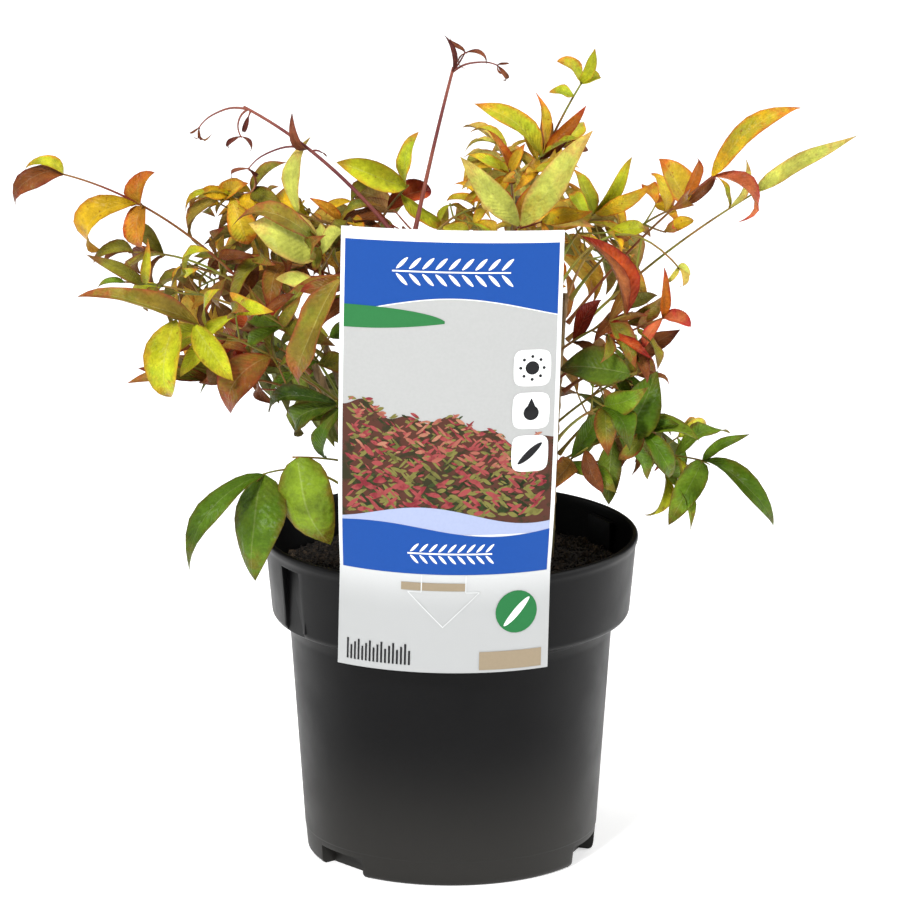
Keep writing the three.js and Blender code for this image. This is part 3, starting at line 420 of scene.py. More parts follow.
class Crown:
    """The points of everything grown so far, each with the frond or cane it belongs to."""

    def __init__(self):
        self.points = np.zeros((CROWN_ROOM, 3))
        self.owners = np.zeros(CROWN_ROOM, int)
        self.count = 0

    def keep(self, points, owner):
        n = len(points)
        self.points[self.count : self.count + n] = points
        self.owners[self.count : self.count + n] = owner
        self.count += n

    def touches(self, points, owner, other_gap, own_gap):
        """True where points are nearer to what is kept than the gap to it; a gap of 0 is none."""
        reach = max(other_gap, own_gap)
        kept = self.points[: self.count]
        low, high = points.min(0) - reach, points.max(0) + reach
        near = ((kept > low) & (kept < high)).all(1)
        owners = self.owners[: self.count][near]
        kept = kept[near]
        gap = np.where(owners == owner, own_gap, other_gap)
        kept, gap = kept[gap > 0], gap[gap > 0]
        if not len(kept):
            return False
        apart = ((kept[:, None, :] - points[None, :, :]) ** 2).sum(2)
        return bool((apart < gap[:, None] ** 2).any())


class Stalk:
    """A frond's stalk: a curve from its base past a control point to its tip."""

    def __init__(self, base, control, tip, span):
        self.base = base
        self.control = control
        self.tip = tip
        self.span = span

    def at(self, t):
        a = self.base + (self.control - self.base) * t
        b = self.control + (self.tip - self.control) * t
        return a + (b - a) * t

    def direction(self, t):
        a = self.control - self.base
        b = self.tip - self.control
        return unit(a + (b - a) * t)

    def root(self, t):
        """Where something at t is rooted: on the straight pieces that the solids have."""
        pieces = max(3, math.ceil(self.span / STALK_PIECE))
        place = min(t, 1 - 2 / self.span) * pieces
        piece = math.floor(place)
        a, b = self.at(piece / pieces), self.at((piece + 1) / pieces)
        return a + (b - a) * (place - piece)


class Frond:
    """One frond: its row of the table, and the stalk, side stalks, sprigs and leaflets grown."""

    def __init__(self, number, row):
        (self.name, self.cane, self.height, self.tip, self.bow, self.leaf, self.bend,
         self.breadth, tints, self.filler, self.finer, self.fan) = row
        self.tints = tints.split()
        self.number = number
        self.seed = number + 1
        self.side_stalks = []
        self.sprigs = []
        self.leaves = []

    def grow_stalk(self, crown):
        start = cane_point(self.cane, self.height)
        tip = vec(*self.tip)
        outward = unit(vec(tip[0] - start[0], tip[1] - start[1], 0))
        leaving = unit((tip - start) * BOW_AT + vec(0, 0, self.bow))
        overhang = STALK_BASE * math.sqrt(max(0, 1 - float(leaving @ outward) ** 2))
        base = start + outward * (cane_radius(self.cane, self.height) + GAP + overhang)
        chord = tip - base
        span = math.sqrt(float(chord @ chord))
        count = max(6, math.floor(span / STALK_SAMPLE))
        for attempt in range(TRIES):
            draw = draws(self.seed * 31 + attempt)
            stray = 0 if attempt == 0 else STALK_STRAY * span
            shift = vec(draw(-stray, stray), draw(-stray, stray), self.bow + draw(-stray, stray))
            self.stalk = Stalk(base, base + chord * BOW_AT + shift, tip, span)
            points = np.array([self.stalk.at(k / count) for k in range(count + 1)])
            free = points[np.linalg.norm(points - base, axis=1) > OWN_BASE]
            if not kept_out(free) and not crown.touches(free, self.number, FIRST.stalk, 0):
                break
        crown.keep(points, self.number)

    def try_leaf(self, crown, leaf, gaps, number, look=""):
        """Keeps a leaflet if it is clear of everything else, and says whether it was."""
        points = leaf.samples()
        if kept_out(points):
            return False
        if crown.touches(leaf.samples(OTHERS_FROM), self.number, gaps.leaf, 0):
            return False
        if crown.touches(leaf.samples(SIBLING_FROM), self.number, 0, gaps.sibling):
            return False
        if crown.touches(points, self.number, gaps.leaf_to_stalk, 0):
            return False
        crown.keep(points, self.number)
        leaf.tint, *leaf.look = look.split() or [self.tints[number % len(self.tints)]]
        leaf.key = self.seed * 977 + number * 13 + len(self.leaves)
        self.leaves.append(leaf)
        return True

    def grow_named_leaf(self, crown, place, bearing, reach, look, number):
        """A leaflet of the fan, which keeps its bearing and length as well as it can."""
        root = self.stalk.root(place)
        outward = outward_from(root)
        for attempt in range(TRIES):
            draw = draws(self.seed * 389 + number * 41 + attempt * 11)
            stray = attempt * 0.22
            angle = math.radians(bearing) + draw(-0.5, 0.5) * stray
            lean = -0.15 + draw(-0.25, 0.25) + draw(-0.8, 0.8) * stray
            chord = unit(vec(math.sin(angle), lean, math.cos(angle)))
            wander = (draw(-0.4, 0.4), draw(-0.3, 0.3))
            facing = unit(UP * 0.6 + outward * 0.3 + vec(wander[0], -0.7 + wander[1], 0))
            # a leaflet can't face the way it grows
            if abs(float(facing @ chord)) > 0.85:
                facing = unit(vec(0.2, -0.8, 0.25) + outward * 0.5)
            normal = unit(facing - chord * float(facing @ chord))
            bend = self.bend * draw(0.7, 1.3)
            half = bend / 2
            along = chord * math.cos(half) + normal * math.sin(half)
            face = normal * math.cos(half) - chord * math.sin(half)
            length = reach * half / math.sin(half)
            width = min(length * draw(0.38, 0.46), LEAF_MAX_WIDTH) * self.breadth
            fold = draw(0.2, 0.6)
            leaf = Leaf(root, along, face, length, width, fold, bend, draw(-0.4, 0.4))
            if self.try_leaf(crown, leaf, FIRST, number, look):
                return

    def grow_leaf(self, crown, gaps, root, direction, level, side, number, scale):
        """A leaflet of the filler, to one side of its stalk or, where side is 0, at its end."""
        outward = outward_from(root)
        for attempt in range(TRIES):
            draw = draws(self.seed * 193 + number * 29 + attempt * 7)
            wild = 1 + 0.35 * attempt
            sideways = turned_about(level, direction, ROLL + draw(-0.45, 0.45) * wild)
            spread = 0 if side == 0 else draw(0.75, 1.15)
            along = direction * math.cos(spread) + sideways * (side * math.sin(spread))
            hang = max(0, min(0.95, HANG + draw(-0.15, 0.15)))
            along = along * (1 - hang) - UP * hang
            stray = vec(draw(-0.2, 0.2), draw(-0.2, 0.2), draw(-0.2, 0.2))
            along = unit(along + stray * wild)
            front = FRONT_TURN if root[1] < FRONT_UNTIL else 0
            stray = vec(draw(-0.4, 0.4), draw(-0.4, 0.4) - front, draw(-0.3, 0.3))
            facing = unit(UP * 0.55 + outward * 0.45 + stray)
            # a leaflet can't face the way it grows
            if abs(float(facing @ along)) > 0.9:
                facing = unit(outward + UP * 0.3)
            if abs(float(facing @ along)) > 0.95:
                facing = unit(np.cross(along, vec(0.3, 0.8, 0.1)))
            length = self.leaf * scale * draw(0.8, 1.12)
            width = length * draw(0.36, 0.46) * self.breadth
            fold = draw(0.2, 0.6)
            bend = self.bend * draw(0.4, 1.5)
            leaf = Leaf(root, along, facing, length, width, fold, bend, draw(-0.7, 0.7))
            if in_opening(leaf.midrib(0.5)[0]) or in_opening(leaf.midrib(1.0)[0]):
                continue
            if self.try_leaf(crown, leaf, gaps, number):
                return

    def grow_side_stalk(self, crown, gaps, root, direction, level, side, number):
        """A side stalk that ends in three leaflets."""
        for attempt in range(TRIES):
            draw = draws(self.seed * 97 + number * 13 + attempt * 5)
            sideways = turned_about(level, direction, ROLL + draw(-0.5, 0.5))
            spread = draw(0.7, 1.1)
            along = direction * math.cos(spread) + sideways * (side * math.sin(spread))
            along = unit(along + UP * (0.15 - 0.5 * HANG))
            reach = self.leaf * draw(0.42, 0.6)
            end = root + along * reach
            count = max(2, math.floor(reach / 3))
            points = np.array([root + (end - root) * ((k + 1) / count) for k in range(count)])
            free = points[np.linalg.norm(points - root, axis=1) > SIDE_BASE]
            if len(free) and (kept_out(free) or crown.touches(free, self.number, gaps.stalk, SIDE_GAP)):
                continue
            self.side_stalks.append((root, end))
            crown.keep(points, self.number)
            for k, offset in enumerate((0, 1, -1)):
                scale = 0.9 if offset == 0 else 0.72
                self.grow_leaf(crown, gaps, end - along, along, level, offset, number + 1 + k, scale)
            return

    def grow_filler(self, crown):
        """Leaflets and side stalks along the stalk, as the frond's filler says."""
        to = FILLER_TO if self.fan else 1
        number = 0
        last = len(self.filler) - 1
        for k, code in enumerate(self.filler):
            place = FILLER_FROM + (to - FILLER_FROM) * k / last if last > 0 else to
            root = self.stalk.root(place)
            direction = self.stalk.direction(place)
            level = unit(np.cross(direction, UP))
            sides = [-1] if code == "1" else [1, -1]
            if k == last and not self.fan:
                sides.append(0)
            for side in sides:
                number += 1
                if code == "3" and side != 0:
                    self.grow_side_stalk(crown, FIRST, root, direction, level, side, number)
                    number += 3
                else:
                    scale = 1.12 if side == 0 else 0.92
                    self.grow_leaf(crown, FIRST, root, direction, level, side, number, scale)

    def grow_finer(self, crown):
        """The same rule carried on: more side stalks and leaflets between the first ones."""
        for k in range(self.finer):
            place = FINER_FROM + FINER_REACH * (k + 0.5) / self.finer
            root = self.stalk.root(place)
            direction = self.stalk.direction(place)
            level = unit(np.cross(direction, UP))
            for side in (1, -1):
                number = FINER_NUMBER + 10 * k + (5 if side > 0 else 0)
                if k % 2 == 0:
                    self.grow_side_stalk(crown, FINER, root, direction, level, side, number)
                else:
                    self.grow_leaf(crown, FINER, root, direction, level, side, number, 0.95)


def outward_from(p):
    return unit(vec(p[0] + 0.01, p[1] + 0.01, 0))


def grow_crown():
    """Grows all the stalks, then the fans, then the filler and then the finer leaflets."""
    crown = Crown()
    for k, key in enumerate(CANES):
        heights = np.arange(SOIL_TOP, cane_top(key) + 1e-9, 3)
        crown.keep(np.array([cane_point(key, z) for z in heights]), -1 - k)
    fronds = [Frond(number, row) for number, row in enumerate(FRONDS)]
    for frond in fronds:
        frond.grow_stalk(crown)
    for frond in fronds:
        for number, named in enumerate(frond.fan):
            frond.grow_named_leaf(crown, *named, number)
    for frond in fronds:
        frond.grow_filler(crown)
    for frond in fronds:
        frond.grow_finer(crown)
    return fronds


# ---------------------------------------------------------------- meshes


# how far across a leaflet its rim starts
LEAFLET_RIM = 0.99


class Soup:
    """Collects parts of one piece: points in mm, faces, the slot of each face's material, and
    three facts for each point: its place along and across a leaflet, and the leaflet's own number."""

    def __init__(self):
        self.points, self.faces, self.slots = [], [], []
        self.along, self.across, self.own, self.count = [], [], [], 0

    def add(self, points, faces, slots=0, along=0.0, across=0.0, own=0.5):
        n = len(points)
        self.points.append(np.asarray(points, float))
        self.faces += [[i + self.count for i in f] for f in faces]
        self.slots += [slots] * len(faces) if isinstance(slots, int) else list(slots)
        self.along.append(np.broadcast_to(along, n).astype(float))
        self.across.append(np.broadcast_to(across, n).astype(float))
        self.own.append(np.full(n, own))
        self.count += n

    def piece(self, name, materials, smooth=None, rims=False):
        """Makes the piece. It is smooth up to the angle given, in degrees, or all over for 0."""
        mesh = bpy.data.meshes.new(name)
        points = np.concatenate(self.points) * MM
        mesh.from_pydata(points.tolist(), [], self.faces)
        for m in materials:
            mesh.materials.append(m)
        mesh.polygons.foreach_set("material_index", self.slots)
        across = np.concatenate(self.across)
        facts = {"along": np.concatenate(self.along), "across": across, "own": np.concatenate(self.own)}
        for key, values in facts.items():
            mesh.attributes.new(key, "FLOAT", "POINT").data.foreach_set("value", values)
        if smooth is not None:
            mesh.shade_smooth()
            if smooth > 0:
                mesh.set_sharp_from_angle(angle=math.radians(smooth))
        if rims:
            ends = np.zeros(len(mesh.edges) * 2, int)
            mesh.edges.foreach_get("vertices", ends)
            on_rim = (np.abs(across) > LEAFLET_RIM)[ends.reshape(-1, 2)].all(1)
            sharp = mesh.attributes.new("sharp_edge", "BOOLEAN", "EDGE")
            sharp.data.foreach_set("value", on_rim)
        mesh.update()
        piece = bpy.data.objects.new(name, mesh)
        bpy.context.scene.collection.objects.link(piece)
        return piece


def face_outwards(piece):
    """Turns a closed piece's faces outwards."""
    b = bmesh.new()
    b.from_mesh(piece.data)
    bmesh.ops.recalc_face_normals(b, faces=b.faces)
    b.to_mesh(piece.data)
    b.free()


def ring_faces(rings, sides):
    """Faces between rings of points that follow one another."""
    faces = []
    for k in range(rings - 1):
        low, high = k * sides, (k + 1) * sides
        for i in range(sides):
            j = (i + 1) % sides
            faces.append([low + i, low + j, high + j, high + i])
    return faces


def closed_faces(rings, sides):
    """The same faces, and one over each end."""
    last = (rings - 1) * sides
    return ring_faces(rings, sides) + [list(range(sides))[::-1], [last + i for i in range(sides)]]


def tube(points, radii, sides):
    """A closed round tube along points, in mm."""
    points = np.asarray(points, float)
    tangents = np.gradient(points, axis=0)
    tangents /= np.linalg.norm(tangents, axis=1)[:, None]
    reference = UP if abs(tangents[0] @ UP) < 0.9 else vec(1, 0, 0)
    across = unit(np.cross(reference, tangents[0]))
    angle = 2 * math.pi * np.arange(sides) / sides
    rings = []
    for p, t, r in zip(points, tangents, radii):
        across = unit(across - t * float(across @ t))
        other = np.cross(t, across)
        rings.append(p + r * (np.cos(angle)[:, None] * across + np.sin(angle)[:, None] * other))
    return np.concatenate(rings), closed_faces(len(points), sides)


# ---------------------------------------------------------------- materials


class Shader:
    """Builds one material's node tree in a few words."""

    def __init__(self, name):
        self.material = bpy.data.materials.new(name)
        self.material.use_nodes = True
        self.nodes = self.material.node_tree.nodes
        self.links = self.material.node_tree.links
        self.main = self.nodes["Principled BSDF"]
        self.place = self.nodes.new("ShaderNodeTexCoord").outputs["Object"]

    def set(self, **sockets):
        for name, value in sockets.items():
            self.main.inputs[name.replace("_", " ")].default_value = value

    def join(self, source, socket):
        self.links.new(source, self.main.inputs[socket])

    def stretched(self, x, y, z):
        mapping = self.nodes.new("ShaderNodeMapping")
        mapping.inputs["Scale"].default_value = (x, y, z)
        self.links.new(self.place, mapping.inputs["Vector"])
        return mapping.outputs["Vector"]

    def noise(self, scale, detail=3.0, roughness=0.55, place=None):
        node = self.nodes.new("ShaderNodeTexNoise")
        node.inputs["Scale"].default_value = scale
        node.inputs["Detail"].default_value = detail
        node.inputs["Roughness"].default_value = roughness
        self.links.new(place or self.place, node.inputs["Vector"])
        return node.outputs["Fac"]

    def height(self):
        """Height over the ground, in mm."""
        split = self.nodes.new("ShaderNodeSeparateXYZ")
        self.links.new(self.place, split.inputs["Vector"])
        return self.calc("DIVIDE", split.outputs["Z"], MM)

    def fact(self, name):
        """One of the facts that the points of a piece carry."""
        node = self.nodes.new("ShaderNodeAttribute")
        node.attribute_name = name
        return node.outputs["Fac"]

    def calc(self, operation, a, b=0.0, c=0.0):
        node = self.nodes.new("ShaderNodeMath")
        node.operation = operation
        for socket, value in zip(node.inputs, (a, b, c)):
            if isinstance(value, (int, float)):
                socket.default_value = value
            else:
                self.links.new(value, socket)
        return node.outputs["Value"]

    def range(self, value, low, high, to_low=0.0, to_high=1.0):
        """Goes softly from to_low to to_high while the value goes from low to high."""
        node = self.nodes.new("ShaderNodeMapRange")
        node.interpolation_type = "SMOOTHSTEP"
        ends = {"From Min": low, "From Max": high, "To Min": to_low, "To Max": to_high}
        for name, end in ends.items():
            node.inputs[name].default_value = end
        self.links.new(value, node.inputs["Value"])
        return node.outputs["Result"]

    def mix(self, factor, a, b, kind="MIX"):
        """Colour a going over to colour b by the factor."""
        node = self.nodes.new("ShaderNodeMix")
        node.data_type = "RGBA"
        node.blend_type = kind
        colours = [i for i in node.inputs if i.type == "RGBA"]
        for socket, value in zip((node.inputs[0], *colours), (factor, a, b)):
            if isinstance(value, (int, float)):
                socket.default_value = value
            elif isinstance(value, (tuple, list)):
                socket.default_value = (*value, 1.0)
            else:
                self.links.new(value, socket)
        return [o for o in node.outputs if o.type == "RGBA"][0]

    def grey(self, value):
        node = self.nodes.new("ShaderNodeCombineColor")
        for socket in node.inputs:
            self.links.new(value, socket)
        return node.outputs["Color"]

    def bump(self, height, strength, distance):
        node = self.nodes.new("ShaderNodeBump")
        node.inputs["Strength"].default_value = strength
        node.inputs["Distance"].default_value = distance
        self.links.new(height, node.inputs["Height"])
        self.join(node.outputs["Normal"], "Normal")


BLACK = (0.0, 0.0, 0.0)


def seen(r, g, b):
    """A colour as it is seen, 0 to 255, as the light that the shaders mix."""
    dark_end = 10.3
    return tuple(v / 255 / 12.92 if v < dark_end else ((v / 255 + 0.055) / 1.055) ** 2.4
                 for v in (r, g, b))


def toned(colour, other, share):
    """A colour with a share of another in it."""
    return tuple(a + (b - a) * share for a, b in zip(colour, other))


class Tint:
    """Colours of one kind of leaflet: body, second tone, and the flush of its edge and tip. Then
    how far the flush goes, how strong the spots are, and the darkest that a leaflet may be."""

    def __init__(self, body, second, edge, edge_share, spots=0.0, dullest=0.62):
        self.body = seen(*body)
        self.second = seen(*second)
        self.edge = seen(*edge)
        self.edge_share = edge_share
        self.spots = spots
        self.dullest = dullest


TINTS = {
    "green": Tint((84, 116, 22), (108, 142, 32), (108, 82, 26), 0.5, 0.2, 0.7),
    "dark": Tint((46, 68, 14), (78, 100, 24), (84, 64, 20), 0.4, 0.2),
    "lime": Tint((188, 192, 38), (158, 172, 38), (196, 118, 40), 0.5, 0.5, 0.86),
    "pale": Tint((194, 198, 88), (182, 170, 68), (200, 130, 78), 0.5, 0.3, 0.94),
    "gold": Tint((220, 178, 30), (176, 164, 40), (196, 94, 30), 0.6, 0.7, 0.8),
    "orange": Tint((200, 112, 30), (186, 148, 40), (172, 44, 26), 0.7, 0.5, 0.72),
    "olive": Tint((142, 136, 40), (108, 116, 32), (142, 66, 38), 0.7, 0.5),
    "russet": Tint((142, 80, 36), (124, 100, 32), (122, 38, 26), 0.75, 0.3),
    "crimson": Tint((148, 42, 20), (176, 78, 30), (116, 22, 18), 0.6, 0.2, 0.76),
    "rose": Tint((178, 66, 50), (186, 106, 58), (158, 34, 40), 0.6, 0.2, 0.8),
    "shoot": Tint((110, 50, 42), (134, 78, 50), (88, 32, 34), 0.6),
}


UNDERSIDE = (0.5, 0.42, 0.17)
MIDRIB = (0.62, 0.6, 0.3)
SPOT = (0.02, 0.01, 0.005)
SEAM = (0.05, 0.01, 0.01)
VEINS = 15.0
VEIN_SLANT = -3.0
FULL_TURN = 6.2832


def leaf_tones(s, tint, body, second, under, own, across, along):
    """Clouds of two tones, flushed from the rim and the tip, with patches that have turned."""
    cloud = s.noise(110, 6, 0.7)
    shift = s.calc("ADD", cloud, s.calc("MULTIPLY_ADD", own, 0.5, -0.25))
    colour = s.mix(s.range(shift, 0.42, 0.62), body, second)
    ragged = s.calc("MULTIPLY_ADD", s.noise(170, 4, 0.65), 0.9, -0.45)
    rim = s.range(s.calc("ADD", across, ragged), 0.62, 1.1)
    tip = s.range(s.calc("ADD", along, ragged), 0.64, 0.98)
    flush = s.calc("MULTIPLY", s.calc("MAXIMUM", rim, tip), s.range(own, 0.1, 0.9, tint.edge_share, 1.0))
    colour = s.mix(flush, colour, toned(tint.edge, body, 0.25 if under else 0.0))
    turning = s.calc("MULTIPLY_ADD", own, 0.35, s.noise(48, 3, 0.6))
    turning = s.range(turning, 0.6, 0.84, 0.0, 0.7 * tint.edge_share)
    return s.mix(turning, colour, toned(tint.edge, second, 0.3))


def leaf_marks(s, tint, body, colour, across):
    """Spots, the paler midrib and the dark seam along the rim."""
    if tint.spots:
        spots = s.range(s.noise(520, 2, 0.5), 0.66, 0.72, 0.0, tint.spots)
        colour = s.mix(spots, colour, toned(tint.edge, SPOT, 0.5))
    middle = s.range(across, 0.012, 0.055, 0.22, 0.0)
    colour = s.mix(middle, colour, toned(body, MIDRIB, 0.5))
    seam = s.range(across, 0.93, 0.99, 0.0, 0.55)
    return s.mix(seam, colour, toned(tint.edge, SEAM, 0.4))


def leaf_tone_and_painted_fold_shade(s, tint, own, side):
    """How light the tone is: it changes in blotches and from leaf to leaf, and one half is painted darker
    than the other, as painted shade of the fold.
    """
    blotch = s.calc("MULTIPLY", s.range(s.noise(75, 4, 0.6), 0.36, 0.66, 0.72, 1.12),
                    s.range(s.noise(620, 4, 0.75), 0.34, 0.66, 0.86, 1.1))
    # painted shade: one half of each leaflet darker than the other, as if its fold were lit from one side
    half = s.calc("MULTIPLY", side, s.calc("SUBTRACT", own, 0.5))
    half = s.range(half, -0.04, 0.04, 0.9, 1.06)
    return s.calc("MULTIPLY", s.calc("MULTIPLY", blotch, half), s.range(own, 0.0, 1.0, tint.dullest, 1.2))


def leaf_relief(s, across, along):
    """Slanting side veins over a slightly puckered skin."""
    slant = s.calc("MULTIPLY_ADD", across, VEIN_SLANT, s.calc("MULTIPLY", along, VEINS))
    veins = s.calc("SINE", s.calc("MULTIPLY", slant, FULL_TURN))
    pucker = s.calc("MULTIPLY_ADD", s.noise(150, 2), 1.6, s.noise(320, 3))
    s.bump(s.calc("MULTIPLY_ADD", veins, 0.07, pucker), 0.7, 0.001)


def leaf_material(name, tint, under):
    s = Shader(name)
    own = s.fact("own")
    side = s.fact("across")
    across = s.calc("ABSOLUTE", side)
    along = s.fact("along")
    body, second = tint.body, tint.second
    if under:
        body, second = toned(body, UNDERSIDE, 0.28), toned(second, UNDERSIDE, 0.22)
    colour = leaf_tones(s, tint, body, second, under, own, across, along)
    colour = leaf_marks(s, tint, body, colour, across)
    colour = s.mix(1.0, colour, s.grey(leaf_tone_and_painted_fold_shade(s, tint, own, side)), "MULTIPLY")
    s.join(colour, "Base Color")
    leaf_relief(s, across, along)
    glossy, matt = (0.5, 0.62) if under else (0.32, 0.46)
    s.join(s.range(s.noise(300, 2), 0.3, 0.7, glossy, matt), "Roughness")
    s.set(Specular_IOR_Level=0.06 if under else 0.12)
    return s.material


def stalk_material(name, main, other):
    """Smooth young bark in two tones."""
    s = Shader(name)
    s.join(s.mix(s.range(s.noise(60, 3), 0.35, 0.65), main, other), "Base Color")
    s.bump(s.noise(900, 2), 0.2, 0.0002)
    s.set(Roughness=0.48, Specular_IOR_Level=0.2)
    return s.material


def bark_material():
    """The canes' bark: upright strands with a green cast here and there."""
    s = Shader("cane_bark")
    strands = s.noise(300, 5, 0.65, s.stretched(1, 1, 0.16))
    tone = s.mix(s.range(strands, 0.35, 0.65), seen(74, 56, 38), seen(148, 122, 86))
    tone = s.mix(s.range(s.noise(70, 3), 0.5, 0.75, 0.0, 0.6), tone, seen(96, 104, 52))
    s.join(tone, "Base Color")
    s.bump(strands, 0.6, 0.0006)
    s.set(Roughness=0.8, Specular_IOR_Level=0.25)
    return s.material


# heights between which the painted reflection of the white floor on the pot fades out
FLOOR_REFLECTION_FROM = 2
FLOOR_REFLECTION_TO = 62


def pot_material():
    """Black moulded plastic, with a painted reflection of the floor that makes it lighter towards its foot,
    and a little scuffed.
    """
    s = Shader("pot_plastic")
    cloud = s.range(s.noise(14, 4), 0.35, 0.7)
    tone = s.mix(cloud, seen(5, 5, 6), seen(9, 9, 10))
    # painted reflection: the pot is lighter towards its foot, as if it mirrored the floor there
    floor_reflection = s.range(s.height(), FLOOR_REFLECTION_FROM, FLOOR_REFLECTION_TO, 0.95, 0.0)
    tone = s.mix(floor_reflection, tone, seen(42, 41, 39))
    scuffs = s.range(s.noise(130, 6, 0.7, s.stretched(1, 1, 2.6)), 0.66, 0.76, 0.0, 0.25)
    tone = s.mix(scuffs, tone, seen(40, 40, 40))
    s.join(tone, "Base Color")
    s.join(s.range(s.noise(40, 4), 0.3, 0.7, 0.36, 0.46), "Roughness")
    s.bump(s.noise(1500, 2), 0.08, 0.0003)
    s.set(Specular_IOR_Level=0.12)
    return s.material


def mix_material(name, dark, light):
    """Damp crumbly potting mix or bark."""
    s = Shader(name)
    tone = s.mix(s.range(s.noise(420, 5, 0.7), 0.4, 0.68), dark, light)
    s.join(tone, "Base Color")
    s.bump(s.noise(700, 5, 0.7), 0.7, 0.001)
    s.set(Roughness=0.92, Specular_IOR_Level=0.25)
    return s.material


# heights between which shade is painted on the card, and where and how sharply an ink's two tones part
SHADE_FROM = 112
SHADE_TO = 152
INK_PARTING = 0.45
INK_SPREAD = 0.12


def card_material(name, colour, other=None, foot=1.0):
    """Printed card. It may have a second tone in patches, or painted shade that makes it darker towards its
    foot.
    """
    s = Shader(name)
    grain = s.range(s.noise(900, 3), 0.35, 0.65, 0.0, 0.06)
    tone = s.mix(grain, colour, toned(colour, BLACK, 0.5))
    if foot < 1.0:
        # painted shade: the card goes darker towards its foot
        painted_shade = toned(colour, BLACK, 1 - foot)
        tone = s.mix(s.range(s.height(), SHADE_FROM, SHADE_TO, 1.0, 0.0), tone, painted_shade)
    if other:
        low, high = INK_PARTING - INK_SPREAD / 2, INK_PARTING + INK_SPREAD / 2
        tone = s.mix(s.range(s.noise(120, 4, 0.65), low, high), tone, other)
    s.join(tone, "Base Color")
    s.bump(s.noise(300, 2), 0.03, 0.0002)
    s.set(Roughness=0.36, Specular_IOR_Level=0.12)
    return s.material


# ---------------------------------------------------------------- leaflets and stalks

# where the rows of points are along a leaflet, and the points of a row across it. A leaflet has
# its foot and tip first, then row after row: five points above and, between them, three below.
STATIONS = np.array((0.05, 0.13, 0.22, 0.33, 0.44, 0.55, 0.66, 0.76, 0.85, 0.92, 0.97))
COLUMNS = np.array((-1.0, -0.52, 0.0, 0.52, 1.0))
INNER = COLUMNS[1:4]
ROW = len(COLUMNS) + len(INNER)

# what the words for a leaflet's shape do
BREADTHS = {"wide": 1.5, "narrow": 0.62}
BLUNT = 0.95
CURL = 0.14
OVATE_FOOT = 0.6
OVATE_END = 1.05

LEAFLET_HALF = 0.47
LEAFLET_THICK = 0.014
HOOK_FROM = 0.6
OTHER_HALF_WAVE = 1.7


def leaflet_faces():
    """Faces of one leaflet: the rim is shared by its upper and lower skins."""
    foot, tip = 0, 1
    starts = [2 + k * ROW for k in range(len(STATIONS))]
    upper = [[start + c for c in range(5)] for start in starts]
    lower = [[start, start + 5, start + 6, start + 7, start + 4] for start in starts]
    faces, skins = [], []
    for rows, flip, skin in ((upper, False, 0), (lower, True, 1)):
        found = []
        for c in range(4):
            found.append([foot, rows[0][c + 1], rows[0][c]])
            found.append([tip, rows[-1][c], rows[-1][c + 1]])
            for near, far in zip(rows, rows[1:]):
                found.append([near[c], near[c + 1], far[c + 1]])
                found.append([near[c], far[c + 1], far[c]])
        faces += [face[::-1] for face in found] if flip else found
        skins += [skin] * len(found)
    return faces, skins


LEAFLET_FACES, LEAFLET_SKIN = leaflet_faces()


def leaflet_breadth(s, foot, end):
    """Breadth along a leaflet, 1 where it is broadest, narrowing to its foot and its end."""
    peak = foot / (foot + end)
    return (s / peak) ** foot * ((1 - s) / (1 - peak)) ** end


def leaflet(leaf):
    """The points of a fine leaflet on the same midrib, in its own outline, arched and folded,
    with how far along and across each is, and the leaflet's own number."""
    draw = draws(leaf.key + 71)
    blunt = draw(0.0, 0.4)
    wide = draw(0.82, 1.0)
    arch = draw(0.01, 0.1)
    hook = draw(0.02, 0.13)
    fold = leaf.fold * draw(0.8, 1.5)
    cup = draw(-0.3, 0.35)
    for look in leaf.look:
        wide *= BREADTHS.get(look, 1.0)
        if look == "blunt":
            blunt = BLUNT
        elif look == "curled":
            arch, hook = arch + CURL, hook + CURL
        elif look == "down":
            fold, cup, arch = -0.12, -0.3, arch + 0.05
    foot, end = 0.95, 1.3 - 0.75 * blunt
    if "ovate" in leaf.look:
        foot, end = OVATE_FOOT, OVATE_END
    s = np.concatenate(([0.0, 1.0], STATIONS))
    half = leaflet_breadth(s, foot, end) * leaf.width * LEAFLET_HALF * wide
    point, normal, across = leaf.midrib(s)
    wave, phase = draw(0.05, 0.13) * leaf.width, draw(0, 6.28)
    beat = draw(7.0, 12.0)
    lean = draw(-0.06, 0.06) * leaf.length
    point = point + across * (lean * np.sin(math.pi * s) ** 2)[:, None]
    rise = arch * np.sin(math.pi * s) - hook * np.clip((s - HOOK_FROM) / (1 - HOOK_FROM), 0, 1) ** 2
    point = point + normal * (leaf.length * rise)[:, None]
    thick = LEAFLET_THICK * leaf.width

    def skin(k, c, lift):
        h = half[k] * c
        up = abs(h) * math.sin(fold) * (0.55 + 0.45 * abs(c)) + abs(h) * cup * abs(c)
        ripple = math.sin(phase + beat * s[k] + (OTHER_HALF_WAVE if c > 0 else 0))
        up += wave * abs(c) ** 3 * ripple * math.sin(math.pi * s[k])
        up += lift * thick * (1 - c * c)
        return point[k] + across[k] * (h * math.cos(fold)) + normal[k] * up

    points = [point[0], point[1]]
    for k in range(2, len(s)):
        points += [skin(k, c, 1.0) for c in COLUMNS]
        points += [skin(k, c, -1.0) for c in INNER]
    sides = [1.0, 1.0, *np.tile(np.concatenate((COLUMNS, INNER)), len(STATIONS))]
    along = np.concatenate(([0.0, 1.0], np.repeat(STATIONS, ROW)))
    return np.array(points), along, np.array(sides), draw(0, 1)


